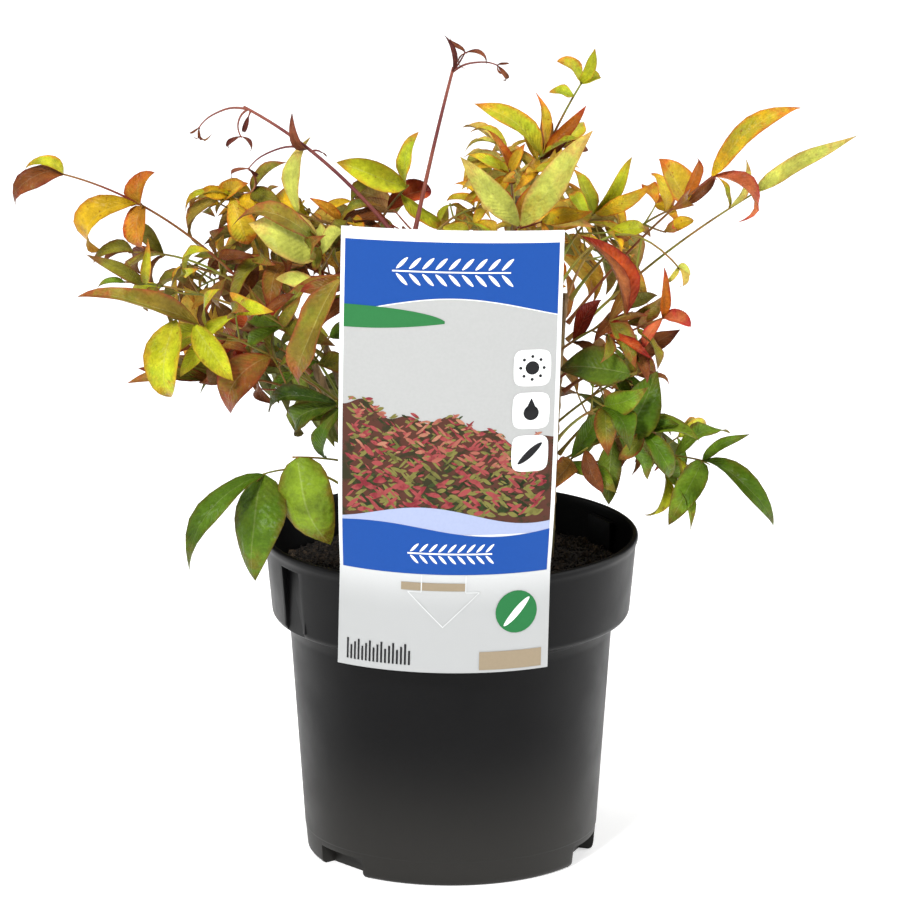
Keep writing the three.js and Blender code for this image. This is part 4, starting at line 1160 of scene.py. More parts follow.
def make_leaves(fronds):
    """One piece of leaflets for each tint, in place of the masses that they grow in."""
    soups = {tint: Soup() for tint in TINTS}
    homes = {tint: set() for tint in TINTS}
    for frond in fronds:
        for leaf in frond.leaves:
            # a leaflet called sprig only holds the place that a sprig takes
            if leaf.tint == "sprig":
                continue
            points, along, across, own = leaflet(leaf)
            soups[leaf.tint].add(points, LEAFLET_FACES, LEAFLET_SKIN, along, across, own)
            homes[leaf.tint].add(f"frond_{frond.name}")
    for name, soup in soups.items():
        tint = TINTS[name]
        skins = [leaf_material(f"leaf_{name}", tint, False),
                 leaf_material(f"leaf_{name}_under", tint, True)]
        piece = soup.piece(f"leaves_{name}", skins, smooth=0, rims=True)
        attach(piece, "root")
        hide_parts(*sorted(homes[name]))


# curled sprigs, most of them on the young shoots: frond, place on its stalk, start and end
# bearing, length, then the leaflets at the sprig's end as (bearing, length)
SPRIGS = [
    ("young_shoot_left", 0.62, 285, 218, 25, [(246, 9), (168, 12), (132, 6)]),
    ("young_shoot_left", 1.0, 283, 215, 21, [(196, 6), (238, 5), (158, 8)]),
    ("young_shoot_left", 1.0, 240, 150, 12, [(232, 9), (140, 8)]),
    ("young_shoot_left", 0.96, 200, 200, 2, [(200, 8)]),
    ("young_shoot_left", 0.6, 60, 130, 4, [(120, 3)]),
    ("young_shoot_top", 1.0, 38, 28, 9, [(318, 9), (98, 10), (205, 7)]),
    ("young_shoot_top", 0.97, 50, 112, 18, [(148, 9), (72, 5), (160, 5)]),
    ("right_arch", 0.72, 190, 186, 24, [(160, 4), (200, 4)]),
]
SPRIG_DEPTH = 0.25
SPRIG_STEPS = 12
SPRIG_LEAF_BREADTH = 0.3
SPRIG_LEAF_FOLD = 0.5


def sprig(frond, place, first, last, length):
    """Points along a sprig that curls from one bearing to another, seen from the front."""
    points = [frond.stalk.root(place)]
    for k in range(SPRIG_STEPS):
        angle = math.radians(first + (last - first) * (k + 0.5) / SPRIG_STEPS)
        step = vec(math.sin(angle), SPRIG_DEPTH * math.sin(k), math.cos(angle))
        points.append(points[-1] + step * (length / SPRIG_STEPS))
    return np.array(points)


def grow_sprigs(fronds):
    """Sprigs and their leaflets: bare curves that end in narrow curled blades."""
    by_name = {frond.name: frond for frond in fronds}
    for n, (name, place, first, last, length, ends) in enumerate(SPRIGS):
        frond = by_name[name]
        points = sprig(frond, place, first, last, length)
        frond.sprigs.append(points)
        for m, (bearing, reach) in enumerate(ends):
            draw = draws(n * 101 + m * 17 + 5)
            angle = math.radians(bearing)
            chord = unit(vec(math.sin(angle), draw(-0.3, 0.3), math.cos(angle)))
            facing = unit(vec(draw(-1, 1), -0.6, 0.5))
            bend, twist = draw(0.5, 1.1), draw(-0.9, 0.9)
            width = reach * SPRIG_LEAF_BREADTH
            leaf = Leaf(points[-1], chord, facing, reach, width, SPRIG_LEAF_FOLD, bend, twist)
            leaf.tint, leaf.look, leaf.key = frond.tints[0], ["curled"], n * 31 + m
            frond.leaves.append(leaf)


# radii of the stalks: at the foot, less the taper towards the tip, and flared at the cane
STALK_RADIUS = 0.62
YOUNG_STALK_RADIUS = 0.85
STALK_TAPER = 0.28
STALK_FLARE = 0.5
FLARE_REACH = 3.0
STALK_STEP = 4
SIDE_SAG = 0.1
# fronds whose filler starts with one of these tints have red stalks
RED_STALKED = ("crimson", "orange", "russet", "shoot")


def add_stalks(soup, frond):
    """A frond's stalk, side stalks and sprigs, and the short stem that each leaflet stands on."""
    young = frond.name.startswith("young")
    slot = 2 if young else int(frond.tints[0] in RED_STALKED)
    stalk = frond.stalk
    t = np.linspace(0, 1, max(8, math.ceil(stalk.span / STALK_STEP)) + 1)
    flare = STALK_FLARE * np.exp(-t * stalk.span / FLARE_REACH)
    radii = (YOUNG_STALK_RADIUS if young else STALK_RADIUS) - STALK_TAPER * t + flare
    soup.add(*tube([stalk.at(k) for k in t], radii, 8), slot)
    for root, end in frond.side_stalks:
        k = np.linspace(0, 1, 5)[:, None]
        sag = vec(0, 0, -SIDE_SAG * math.dist(root, end))
        points = root + (end - root) * k + sag * (k * (1 - k))
        soup.add(*tube(points, np.linspace(0.42, 0.3, len(points)), 6), slot)
    for points in frond.sprigs:
        soup.add(*tube(points, np.linspace(0.5, 0.26, len(points)), 6), slot)
    for leaf in frond.leaves:
        if leaf.tint != "sprig":
            points = leaf.midrib((0.0, 0.04, 0.09))[0]
            soup.add(*tube(points, (0.36, 0.32, 0.2), 5), slot)


def make_stalks(fronds):
    """All the stalks in one piece, green, red or as dark as a young shoot."""
    soup = Soup()
    for frond in fronds:
        add_stalks(soup, frond)
    tones = [
        stalk_material("stalk_green", seen(120, 126, 44), seen(134, 92, 46)),
        stalk_material("stalk_red", seen(120, 46, 34), seen(132, 92, 44)),
        stalk_material("stalk_shoot", seen(98, 42, 44), seen(130, 70, 56)),
    ]
    piece = soup.piece("stalks", tones, smooth=50)
    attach(piece, "root")
    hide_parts(*[f"frond_{frond.name}" for frond in fronds])


CANE_SIDES = 16
CANE_STEP = 0.9
CANE_START = 1.0
# the bark lies a little inside the plain cane, and swells at each knot, above which the rest
# of an old leaf sheath tapers off
BARK_INSET = 0.12
KNOTS = 14
KNOT_SWELL = 0.35
KNOT_LENGTH = 1.1
SHEATH_SWELL = 0.18
SHEATH_LENGTH = 5.0
SHEATH_AT_FOOT = 9.0
MOST_SWELL = 0.28


def cane_rings(key, seed):
    """Rings of points up a cane, with its ridges, knots and sheaths."""
    draw = draws(seed)
    foot, top = SOIL_TOP + CANE_START, cane_top(key)
    knots = np.cumsum([draw(9, 15) for _ in range(KNOTS)]) + foot
    angle = 2 * math.pi * np.arange(CANE_SIDES) / CANE_SIDES
    ridges = sum(np.sin(angle * m + draw(0, 6.28)) * draw(0.02, 0.06) for m in (3, 5, 7))
    rings = []
    for height in np.append(np.arange(foot, top, CANE_STEP), top):
        near = np.abs(knots - height).min()
        swell = KNOT_SWELL * math.exp(-((near / KNOT_LENGTH) ** 2))
        above = min((height - k for k in knots if k <= height), default=SHEATH_AT_FOOT)
        sheath = SHEATH_SWELL * math.exp(-above / SHEATH_LENGTH)
        plain = cane_radius(key, height)
        r = np.minimum(plain * (1 + ridges) - BARK_INSET + swell + sheath, plain + MOST_SWELL)
        x, y, z = cane_point(key, height)
        rings.append(np.stack((x + r * np.cos(angle), y + r * np.sin(angle), np.full(CANE_SIDES, z)), 1))
    return rings


def make_canes():
    """All the canes in one piece."""
    soup = Soup()
    for n, key in enumerate(CANES):
        rings = cane_rings(key, 500 + n)
        soup.add(np.concatenate(rings), closed_faces(len(rings), CANE_SIDES))
    piece = soup.piece("canes", [bark_material()], smooth=45)
    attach(piece, "root")
    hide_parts(*[f"cane_{key}" for key in CANES])


# ---------------------------------------------------------------- pot and potting mix


POT_SEGMENTS = 144
POT_ROUNDING = 0.9
POT_CREASE = 35
POT_EDGE = 0.35
POT_FLOOR = 2.0
CORNER_STEPS = 3
CORNER_SHARE = 0.45
# the blocks inside the wall that carry a groove's and a drain's inner side
GROOVE_BLOCK_EXTRA = 3
DRAIN_BLOCK = 2.5
DRAIN_BLOCK_FOOT = 0.3
DRAIN_BLOCK_EXTRA = 4
MIX_TO_BLOCK = 0.6


def turned_round(angle, x, y, z):
    """A point turned about Z."""
    c, s = math.cos(angle), math.sin(angle)
    return (x * c - y * s, x * s + y * c, z)


def turned_piece(name, outline, segments, materials, smooth):
    """A closed outline of (radius, height) in mm, turned about Z, with its poles closed."""
    rings = [(r, z) for r, z in outline if r > 0]
    angle = 2 * math.pi * np.arange(segments) / segments
    verts = [np.stack((r * np.sin(angle), -r * np.cos(angle), np.full(segments, z)), 1) for r, z in rings]
    verts.append(np.array(((0, 0, outline[0][1]), (0, 0, outline[-1][1])), float))
    faces = ring_faces(len(rings), segments)
    last = (len(rings) - 1) * segments
    pole = len(rings) * segments
    for i in range(segments):
        j = (i + 1) % segments
        faces.append([pole, j, i])
        faces.append([pole + 1, last + i, last + j])
    soup = Soup()
    soup.add(np.concatenate(verts), faces)
    piece = soup.piece(name, materials, smooth=smooth)
    face_outwards(piece)
    return piece


def rounded(outline, radius):
    """Softens the corners of an outline, each by the given radius or less."""
    points = [np.array(p, float) for p in outline]
    found = [points[0]]
    for a, b, c in zip(points, points[1:], points[2:]):
        to_a, to_c = a - b, c - b
        length_a, length_c = np.linalg.norm(to_a), np.linalg.norm(to_c)
        cut_off = min(radius, length_a * CORNER_SHARE, length_c * CORNER_SHARE)
        p, q = b + to_a / length_a * cut_off, b + to_c / length_c * cut_off
        for k in range(CORNER_STEPS + 1):
            t = k / CORNER_STEPS
            found.append(p * (1 - t) ** 2 + b * 2 * t * (1 - t) + q * t**2)
    found.append(points[-1])
    return [tuple(p) for p in found]


def cutter(bearing, near, far, low, high, width):
    """A block to cut or join with, in mm, turned by its bearing round from the front."""
    half = width / 2
    corners = []
    for z in (low, high):
        corners += [(-half, -far, z), (half, -far, z), (half, -near, z), (-half, -near, z)]
    points = [turned_round(math.radians(bearing), *corner) for corner in corners]
    faces = [[0, 3, 2, 1], [4, 5, 6, 7], [0, 1, 5, 4], [1, 2, 6, 5], [2, 3, 7, 6], [3, 0, 4, 7]]
    soup = Soup()
    soup.add(points, faces)
    piece = soup.piece("cutter", [])
    face_outwards(piece)
    return piece


def applied(piece):
    """Replaces a piece's mesh by what its modifiers make, and removes them."""
    graph = bpy.context.evaluated_depsgraph_get()
    shaped = piece.evaluated_get(graph)
    mesh = bpy.data.meshes.new_from_object(shaped, preserve_all_data_layers=True, depsgraph=graph)
    piece.modifiers.clear()
    old = piece.data
    piece.data = mesh
    mesh.name = piece.name
    bpy.data.meshes.remove(old)


def discard(piece):
    """Takes a helper and its mesh away again."""
    mesh = piece.data
    bpy.data.objects.remove(piece)
    bpy.data.meshes.remove(mesh)


def cut(piece, cutters, operation="DIFFERENCE"):
    """Cuts blocks off a piece, or joins them to it."""
    for tool in cutters:
        m = piece.modifiers.new("cut", "BOOLEAN")
        m.operation = operation
        m.solver = "EXACT"
        m.object = tool
    applied(piece)
    for tool in cutters:
        discard(tool)


def pot_outline():
    """The pot's section: under its foot, up the outside, over the rim and down the inside."""
    return [
        (0, 0.0),
        (49.0, 0.0),
        (FOOT_RADIUS - 1.2, 0.0),
        (FOOT_RADIUS, 1.3),
        (FOOT_RADIUS + 0.75, 9.6),
        (FOOT_RADIUS + 0.95, 10.0),
        (WALL_TOP_RADIUS - 0.5, COLLAR_LOW - 6),
        (WALL_TOP_RADIUS + 0.8, COLLAR_LOW - 2),
        (COLLAR_LOW_RADIUS - 1.2, COLLAR_LOW - 0.4),
        (COLLAR_LOW_RADIUS, COLLAR_LOW + 1.2),
        (RIM_RADIUS - 0.3, POT_HEIGHT - 4),
        (BEAD_RADIUS, POT_HEIGHT - 2.2),
        (BEAD_RADIUS, POT_HEIGHT - 0.8),
        (RIM_RADIUS - 0.2, POT_HEIGHT),
        (RIM_RADIUS - WALL, POT_HEIGHT),
        (RIM_RADIUS - WALL - 0.4, POT_HEIGHT - 2),
        (COLLAR_LOW_RADIUS - WALL, COLLAR_LOW + 2.5),
        (WALL_TOP_RADIUS - WALL, COLLAR_LOW - 3),
        (FOOT_RADIUS - WALL, POT_FLOOR + 1),
        (FOOT_RADIUS - WALL - 1, POT_FLOOR),
        (0, POT_FLOOR),
    ]


def cut_grooves(pot):
    """The upright grooves in the collar, each with a block behind it inside the wall."""
    floor = COLLAR_LOW_RADIUS + 1 - GROOVE_DEPTH
    top, width = GROOVE_TOP + WALL, GROOVE_WIDTH + GROOVE_BLOCK_EXTRA
    cut(pot, [cutter(b, floor - WALL, floor + 1, COLLAR_LOW + 2, top, width)
              for b in GROOVE_BEARINGS], "UNION")
    cut(pot, [cutter(b, floor, RIM_RADIUS + 3, COLLAR_LOW - 3, GROOVE_TOP, GROOVE_WIDTH)
              for b in GROOVE_BEARINGS])


def cut_drains(pot):
    """The drains, each a step cut into the foot with a block behind it inside the wall."""
    foot, deep = FOOT_RADIUS, FOOT_RADIUS - DRAIN_DEPTH
    top, width = DRAIN_HEIGHT + POT_FLOOR, DRAIN_WIDTH + DRAIN_BLOCK_EXTRA
    cut(pot, [cutter(b, deep - DRAIN_BLOCK, foot - DRAIN_BLOCK, DRAIN_BLOCK_FOOT, top, width)
              for b in DRAIN_BEARINGS], "UNION")
    cut(pot, [cutter(b, deep, foot + 6, -1, DRAIN_HEIGHT, DRAIN_WIDTH) for b in DRAIN_BEARINGS])


def make_pot():
    """The pot: turned, grooved and drained, with its edges eased."""
    outline = rounded(pot_outline(), POT_ROUNDING)
    pot = turned_piece("pot_body", outline, POT_SEGMENTS, [pot_material()], POT_CREASE)
    cut_grooves(pot)
    cut_drains(pot)
    edges = pot.modifiers.new("edges", "BEVEL")
    edges.width = POT_EDGE * MM
    edges.segments = 2
    edges.limit_method = "ANGLE"
    edges.angle_limit = math.radians(50)
    edges.use_clamp_overlap = True
    applied(pot)
    pot.data.shade_smooth()
    pot.data.set_sharp_from_angle(angle=math.radians(POT_CREASE))
    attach(pot, "root")
    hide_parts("pot")


CHIP_SMALLEST = (0.25, 0.12, 0.10)
CHIP_LARGEST = (1.0, 0.55, 0.40)
ANY_TURN = (6.283, 6.283, 6.283)


def scatter_tree(chip_material):
    """A tree of nodes that strews small rough chips over a surface."""
    tree = bpy.data.node_groups.new("strewn_chips", "GeometryNodeTree")
    face = tree.interface
    face.new_socket("Geometry", in_out="INPUT", socket_type="NodeSocketGeometry")
    inputs = {
        "Chips per m2": ("NodeSocketFloat", 60000.0),
        "Chip half length": ("NodeSocketFloat", 0.0022),
        "Seed": ("NodeSocketInt", 7),
    }
    for name, (kind, value) in inputs.items():
        face.new_socket(name, in_out="INPUT", socket_type=kind).default_value = value
    face.new_socket("Geometry", in_out="OUTPUT", socket_type="NodeSocketGeometry")
    n, link = tree.nodes, tree.links
    given = n.new("NodeGroupInput")
    spread = n.new("GeometryNodeDistributePointsOnFaces")
    link.new(given.outputs["Geometry"], spread.inputs["Mesh"])
    link.new(given.outputs["Chips per m2"], spread.inputs["Density"])
    link.new(given.outputs["Seed"], spread.inputs["Seed"])
    chip = n.new("GeometryNodeMeshIcoSphere")
    chip.inputs["Subdivisions"].default_value = 1
    link.new(given.outputs["Chip half length"], chip.inputs["Radius"])
    turn = n.new("FunctionNodeRandomValue")
    turn.data_type = "FLOAT_VECTOR"
    turn.inputs[1].default_value = ANY_TURN
    link.new(given.outputs["Seed"], turn.inputs["Seed"])
    size = n.new("FunctionNodeRandomValue")
    size.data_type = "FLOAT_VECTOR"
    size.inputs[0].default_value = CHIP_SMALLEST
    size.inputs[1].default_value = CHIP_LARGEST
    strew = n.new("GeometryNodeInstanceOnPoints")
    link.new(spread.outputs["Points"], strew.inputs["Points"])
    link.new(chip.outputs["Mesh"], strew.inputs["Instance"])
    link.new(turn.outputs[0], strew.inputs["Rotation"])
    link.new(size.outputs[0], strew.inputs["Scale"])
    real = n.new("GeometryNodeRealizeInstances")
    link.new(strew.outputs["Instances"], real.inputs["Geometry"])
    paint = n.new("GeometryNodeSetMaterial")
    paint.inputs["Material"].default_value = chip_material
    link.new(real.outputs["Geometry"], paint.inputs["Geometry"])
    out = n.new("NodeGroupOutput")
    link.new(paint.outputs["Geometry"], out.inputs["Geometry"])
    return tree


def strewn(name, surface, tree, density, half_length, seed):
    """A piece of chips strewn over a surface by the tree above."""
    piece = bpy.data.objects.new(name, surface.data.copy())
    bpy.context.scene.collection.objects.link(piece)
    m = piece.modifiers.new("chips", "NODES")
    m.node_group = tree
    sockets = {s.name: s.identifier for s in tree.interface.items_tree if s.in_out == "INPUT"}
    m[sockets["Chips per m2"]] = float(density)
    m[sockets["Chip half length"]] = float(half_length)
    m[sockets["Seed"]] = int(seed)
    applied(piece)
    return piece


MIX_RINGS = 34
MIX_SEGMENTS = 96
MIX_WAVES = 26
# the bed's radius, how far its middle stands proud, where it starts to fall off towards the
# wall, over what length it falls by 1 mm, how lumpy it is, and where it ends below
BED_RADIUS = SOIL_RADIUS + 0.2
BED_CROWN = 0.8
BED_FALL_FROM = 50
BED_FALL_OVER = 14
BED_LUMPS = 0.35
BED_UNDERSIDE = 2.3
# the bed's section below its edge, down along the inside of the pot
BED_BELOW = [(BED_RADIUS, 98.5), (60.5, 92.0), (59.0, 87.0), (52.8, 4.0), (51.2, BED_UNDERSIDE)]


def bed_top():
    """Gives the height of the bed's lumpy top at any place."""
    draw = draws(901)
    waves = [(draw(-0.12, 0.12), draw(-0.12, 0.12), draw(0, 6.28), draw(0.1, 0.4))
             for _ in range(MIX_WAVES)]

    def top(x, y):
        r = math.hypot(x, y)
        bumps = sum(a * math.sin(kx * x * 3 + ky * y * 3 + p) for kx, ky, p, a in waves)
        fall = max(0, (r - BED_FALL_FROM) / BED_FALL_OVER) ** 2
        return SOIL_TOP + BED_CROWN - fall + bumps * BED_LUMPS

    return top


def circle(radius):
    """One ring of the bed."""
    turns = [2 * math.pi * i / MIX_SEGMENTS for i in range(MIX_SEGMENTS)]
    return [(radius * math.cos(a), radius * math.sin(a)) for a in turns]


def band(inner, outer):
    """Faces between two rings of the bed, by the first point of each."""
    after = [(i + 1) % MIX_SEGMENTS for i in range(MIX_SEGMENTS)]
    return [[inner + i, outer + i, outer + j, inner + j] for i, j in enumerate(after)]


def bed_shape():
    """Points and faces of the bed, and how many of each belong to its top."""
    top = bed_top()
    verts = [(0, 0, top(0, 0))]
    for k in range(1, MIX_RINGS + 1):
        verts += [(x, y, top(x, y)) for x, y in circle(BED_RADIUS * k / MIX_RINGS)]
    faces = [[0, 1 + i, 1 + (i + 1) % MIX_SEGMENTS] for i in range(MIX_SEGMENTS)]
    for k in range(MIX_RINGS - 1):
        faces += band(1 + k * MIX_SEGMENTS, 1 + (k + 1) * MIX_SEGMENTS)
    of_top = len(verts), len(faces)
    start = 1 + (MIX_RINGS - 1) * MIX_SEGMENTS
    for r, z in BED_BELOW:
        base = len(verts)
        verts += [(x, y, z) for x, y in circle(r)]
        faces += band(start, base)
        start = base
    verts.append((0, 0, BED_UNDERSIDE))
    centre = len(verts) - 1
    faces += [[centre, start + (i + 1) % MIX_SEGMENTS, start + i] for i in range(MIX_SEGMENTS)]
    return verts, faces, of_top


def make_soil():
    """The bed of potting mix, with crumbs and bark chips strewn over it."""
    verts, faces, (top_verts, top_faces) = bed_shape()
    soup = Soup()
    soup.add(verts, faces)
    damp = mix_material("potting_mix", seen(24, 21, 17), seen(44, 37, 31))
    bed = soup.piece("potting_mix_bed", [damp], smooth=60)
    face_outwards(bed)
    behind = FOOT_RADIUS - DRAIN_DEPTH - DRAIN_BLOCK - MIX_TO_BLOCK
    above = DRAIN_HEIGHT + POT_FLOOR + MIX_TO_BLOCK
    width = DRAIN_WIDTH + DRAIN_BLOCK_EXTRA + 2 * MIX_TO_BLOCK
    cut(bed, [cutter(b, behind, FOOT_RADIUS + 2, -1, above, width) for b in DRAIN_BEARINGS])

    sheet = Soup()
    sheet.add(verts[:top_verts], faces[:top_faces])
    sheet = sheet.piece("chip_sheet", [])
    bark = mix_material("bark_chips", seen(30, 25, 20), seen(66, 54, 42))
    crumbs = mix_material("mix_crumbs", seen(14, 12, 11), seen(32, 27, 23))
    pieces = [
        bed,
        strewn("mix_crumb_layer", sheet, scatter_tree(crumbs), 330000, 0.0016, 11),
        strewn("bark_chip_layer", sheet, scatter_tree(bark), 60000, 0.0030, 23),
    ]
    discard(sheet)
    for piece in pieces:
        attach(piece, "root")
        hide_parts("soil")


# ---------------------------------------------------------------- label


HOOK_SPLAY = 2.2
CARD_STEP = 2.5
CARD_ROWS = 72
PRINT_SIDE = LABEL_HALF - 1.6
PRINT_TOP = LABEL_HIGH - 4.5
PRINT_STEP = 0.035
PRINT_THICK = 0.02

# heights of the printed areas on the card
HEADER_FOOT = 229
PICTURE_TOP = 228.6
PICTURE_FOOT = 146
WAVE_FOOT = 143
WAVE_TOP = 150
BAND_FOOT = 127.5
BAND_TOP = 144.5

HEDGE_LEAVES = 900
HEDGE_FOOT = 150
HEDGE_START = 148.5
TOKEN_PLACE = 31.0
TOKENS = {"sun": 207.0, "drop": 190.5, "leaf": 174.0}
TOKEN_SIZE = 7.0
TOKEN_SQUARENESS = 4.5
LEAF_SQUARENESS = 1.7
# twigs: middle, height, size
TWIGS = ((0.0, 243.5, 1.0), (2.0, 135.5, 0.72))
TWIG_HALF = 22
TWIG_LEAVES = 9
TWIG_SPACING = 4.9
ROUNDEL = (28.0, 112.5)
STROKES = 17
STROKE_SPACING = 1.55
STROKE_HEIGHTS = (8.0, 5.5, 6.8)
STROKE_FOOT = 92.0
# the arrow that is cut for the hook: half its width, and the heights of its top and its tip
ARROW_HALF = 13.5
ARROW_TOP = 120.4
ARROW_TIP = 106.9


def label_point(u, z, depth):
    """A point of the curved card: u along it, z up it and depth behind its face."""
    bow = LABEL_WRAP + max(0.0, z - POT_HEIGHT - 4) * LABEL_FLATTEN
    angle = u / bow
    x = (bow - depth) * math.sin(angle)
    y = -LABEL_WRAP - LABEL_THICK + bow - (bow - depth) * math.cos(angle)
    leant = x + (z - POT_HEIGHT) * math.sin(LABEL_LEAN)
    return turned_round(LABEL_BEARING, leant, y, z - x * math.sin(LABEL_SLOPE))


def slab(soup, columns, low, high, rows, front, back, slot):
    """A thin closed slab on the label between two curves low(u) and high(u)."""
    n, m = len(columns), rows + 1
    points = []
    for depth in (front, back):
        for u in columns:
            for k in range(m):
                z = low(u) + (high(u) - low(u)) * k / rows
                points.append(label_point(u, z, depth))

    def at(side, i, k):
        return side * n * m + i * m + k

    faces = []
    for i in range(n - 1):
        for k in range(rows):
            faces.append([at(0, i, k), at(0, i + 1, k), at(0, i + 1, k + 1), at(0, i, k + 1)])
            faces.append([at(1, i, k), at(1, i, k + 1), at(1, i + 1, k + 1), at(1, i + 1, k)])
        faces.append([at(0, i, 0), at(1, i, 0), at(1, i + 1, 0), at(0, i + 1, 0)])
        faces.append([at(0, i, rows), at(0, i + 1, rows), at(1, i + 1, rows), at(1, i, rows)])
    for k in range(rows):
        faces.append([at(0, 0, k), at(0, 0, k + 1), at(1, 0, k + 1), at(1, 0, k)])
        faces.append([at(0, n - 1, k), at(1, n - 1, k), at(1, n - 1, k + 1), at(0, n - 1, k + 1)])
    soup.add(points, faces, slot)


def spaced(a, b, step=2.0):
    return list(np.linspace(a, b, max(2, math.ceil((b - a) / step) + 1)))


class Print(Soup):
    """The printing on the card: thin slabs of ink, in layers that lie on one another."""

    def __init__(self, inks):
        super().__init__()
        self.inks = inks
        self.ink_slots = {name: slot for slot, name in enumerate(inks)}

    def ink(self, layer, ink, columns, low, high, rows):
        front = -PRINT_STEP * layer
        slab(self, columns, low, high, rows, front, front + PRINT_THICK, self.ink_slots[ink])

    def area(self, layer, ink, u0, u1, low, high, rows=6, step=2.0):
        """An area between two heights or curves."""
        low_curve = low if callable(low) else lambda u: low
        high_curve = high if callable(high) else lambda u: high
        self.ink(layer, ink, spaced(u0, u1, step), low_curve, high_curve, rows)

    def spot(self, layer, ink, u, z, across, up=None, power=2.0, turn=0.0, steps=14):
        """A round or rounded square spot, or a leaf shape when turned and narrow."""
        up = across if up is None else up
        columns = [u + across * math.sin(math.pi * (k / steps - 0.5)) for k in range(steps + 1)]
        tilt = math.tan(turn)

        def half(c):
            x = min(1.0, abs(c - u) / across)
            return up * max(1e-3, 1 - x**power) ** (1 / power)

        self.ink(layer, ink, columns, lambda c: z - half(c) + tilt * (c - u),
                 lambda c: z + half(c) + tilt * (c - u), 2)


def label_inks():
    """The inks of the printing, by name."""
    return {
        "blue": card_material("ink_blue", seen(24, 71, 147)),
        "green": card_material("ink_green", seen(44, 112, 62)),
        "sky": card_material("ink_sky", seen(170, 171, 170)),
        "shade": card_material("ink_shade", seen(46, 44, 26), seen(78, 46, 36)),
        "leaf_red": card_material("ink_leaf_red", seen(122, 40, 48), seen(146, 66, 66)),
        "leaf_salmon": card_material("ink_leaf_salmon", seen(168, 116, 92), seen(152, 88, 74)),
        "leaf_olive": card_material("ink_leaf_olive", seen(92, 92, 46), seen(116, 112, 58)),
        "leaf_deep": card_material("ink_leaf_deep", seen(50, 62, 30), seen(36, 44, 22)),
        "wave": card_material("ink_wave", seen(158, 168, 198)),
        "tan": card_material("ink_tan", seen(146, 132, 110)),
        "deep_green": card_material("ink_deep_green", seen(38, 108, 60)),
        "black": card_material("ink_black", seen(30, 30, 32)),
        "white": card_material("ink_white", seen(240, 241, 241)),
        "line": card_material("ink_line", seen(206, 208, 208)),
    }


def make_card():
    """The card, and the hook that goes from its back over the rim and down inside the pot."""
    # the card gets painted shade towards its foot
    white = card_material("label_card", seen(236, 238, 238), foot=0.47)
    card = Soup()
    slab(card, spaced(-LABEL_HALF, LABEL_HALF, CARD_STEP), lambda u: LABEL_LOW, lambda u: LABEL_HIGH,
         CARD_ROWS, 0.0, LABEL_THICK, 0)
    front = -LABEL_WRAP - GAP
    over = POT_HEIGHT + 2 * GAP
    inner = -RIM_RADIUS + WALL + 3 * GAP
    deep = inner + HOOK_SPLAY
    strap = [(front, over), (inner, over), (deep, HOOK_LOW), (deep + LABEL_THICK, HOOK_LOW),
             (inner + LABEL_THICK, over + LABEL_THICK), (front, over + LABEL_THICK)]
    points = [turned_round(LABEL_BEARING, x, y, z)
              for x in (-HOOK_WIDTH / 2, HOOK_WIDTH / 2) for y, z in strap]
    faces = [[0, 1, 2, 3, 4, 5][::-1], [6, 7, 8, 9, 10, 11]]
    faces += [[i, (i + 1) % 6, 6 + (i + 1) % 6, 6 + i] for i in range(6)]
    card.add(points, faces)
    card = card.piece("label_card", [white], smooth=30)
    face_outwards(card)
    return card


def header_swell(u, height):
    """The swell that the header ends in and the picture starts with."""
    return height + 4.5 * math.sin((u + 30) / 20.0)


def hedge_top(u):
    """The hedge's uneven top, higher on the left."""
    return 181 + 9 / (1 + math.exp(u / 5.0)) + 3 * math.sin(u / 7.0 + 0.6) + 1.6 * math.sin(u / 2.6 + 1)


def print_picture(card):
    """The blue header, and under it a pale wall above a hedge of many small leaves."""
    card.area(1, "blue", -PRINT_SIDE, PRINT_SIDE, lambda u: header_swell(u, HEADER_FOOT), PRINT_TOP, 8)
    card.area(1, "sky", -PRINT_SIDE, PRINT_SIDE, PICTURE_FOOT, lambda u: header_swell(u, PICTURE_TOP), 10)
    card.area(2, "shade", -PRINT_SIDE, PRINT_SIDE, PICTURE_FOOT, hedge_top, 8, 0.8)
    draw = draws(4711)
    kinds = ("leaf_deep", "leaf_olive", "leaf_red", "leaf_salmon")
    for _ in range(HEDGE_LEAVES):
        u = draw(3 - PRINT_SIDE, PRINT_SIDE - 3)
        depth = draw(0.0, 1.0)
        kind = min(3, int(draw(0.0, 2.6) + (0.9 if depth > 0.55 else 0.2)))
        z = HEDGE_FOOT + (hedge_top(u) - HEDGE_START) * depth
        size = draw(0.8, 2.2) * (1.3 - 0.5 * depth)
        breadth, turn = size * draw(0.32, 0.5), draw(-0.85, 0.85)
        card.spot(2.6 + 0.45 * kind, kinds[kind], u, z, size, breadth, 1.5, turn, 8)


def swash(u):
    """How far the green swash bends up on either side of its lowest place."""
    return 0.002 * (u + 40) ** 2


def print_bands(card):
    """A green swash across the picture's corner, and the wave and the band below the picture."""
    card.area(4, "green", -PRINT_SIDE, -2.0, lambda u: 221 + swash(u),
              lambda u: 221.3 + swash(u) + 8.5 * max(0.0, 1 - ((u + 40) / 38.5) ** 2) ** 0.7, 5, 1.0)
    card.area(4, "wave", -PRINT_SIDE, PRINT_SIDE, WAVE_FOOT,
              lambda u: WAVE_TOP + 3.2 * math.sin(u / 13.0 + 2.2), 4, 1.5)
    card.area(5, "blue", -PRINT_SIDE, PRINT_SIDE, BAND_FOOT,
              lambda u: BAND_TOP + 2.4 * math.sin(u / 15.0 + 3.4), 6, 1.5)


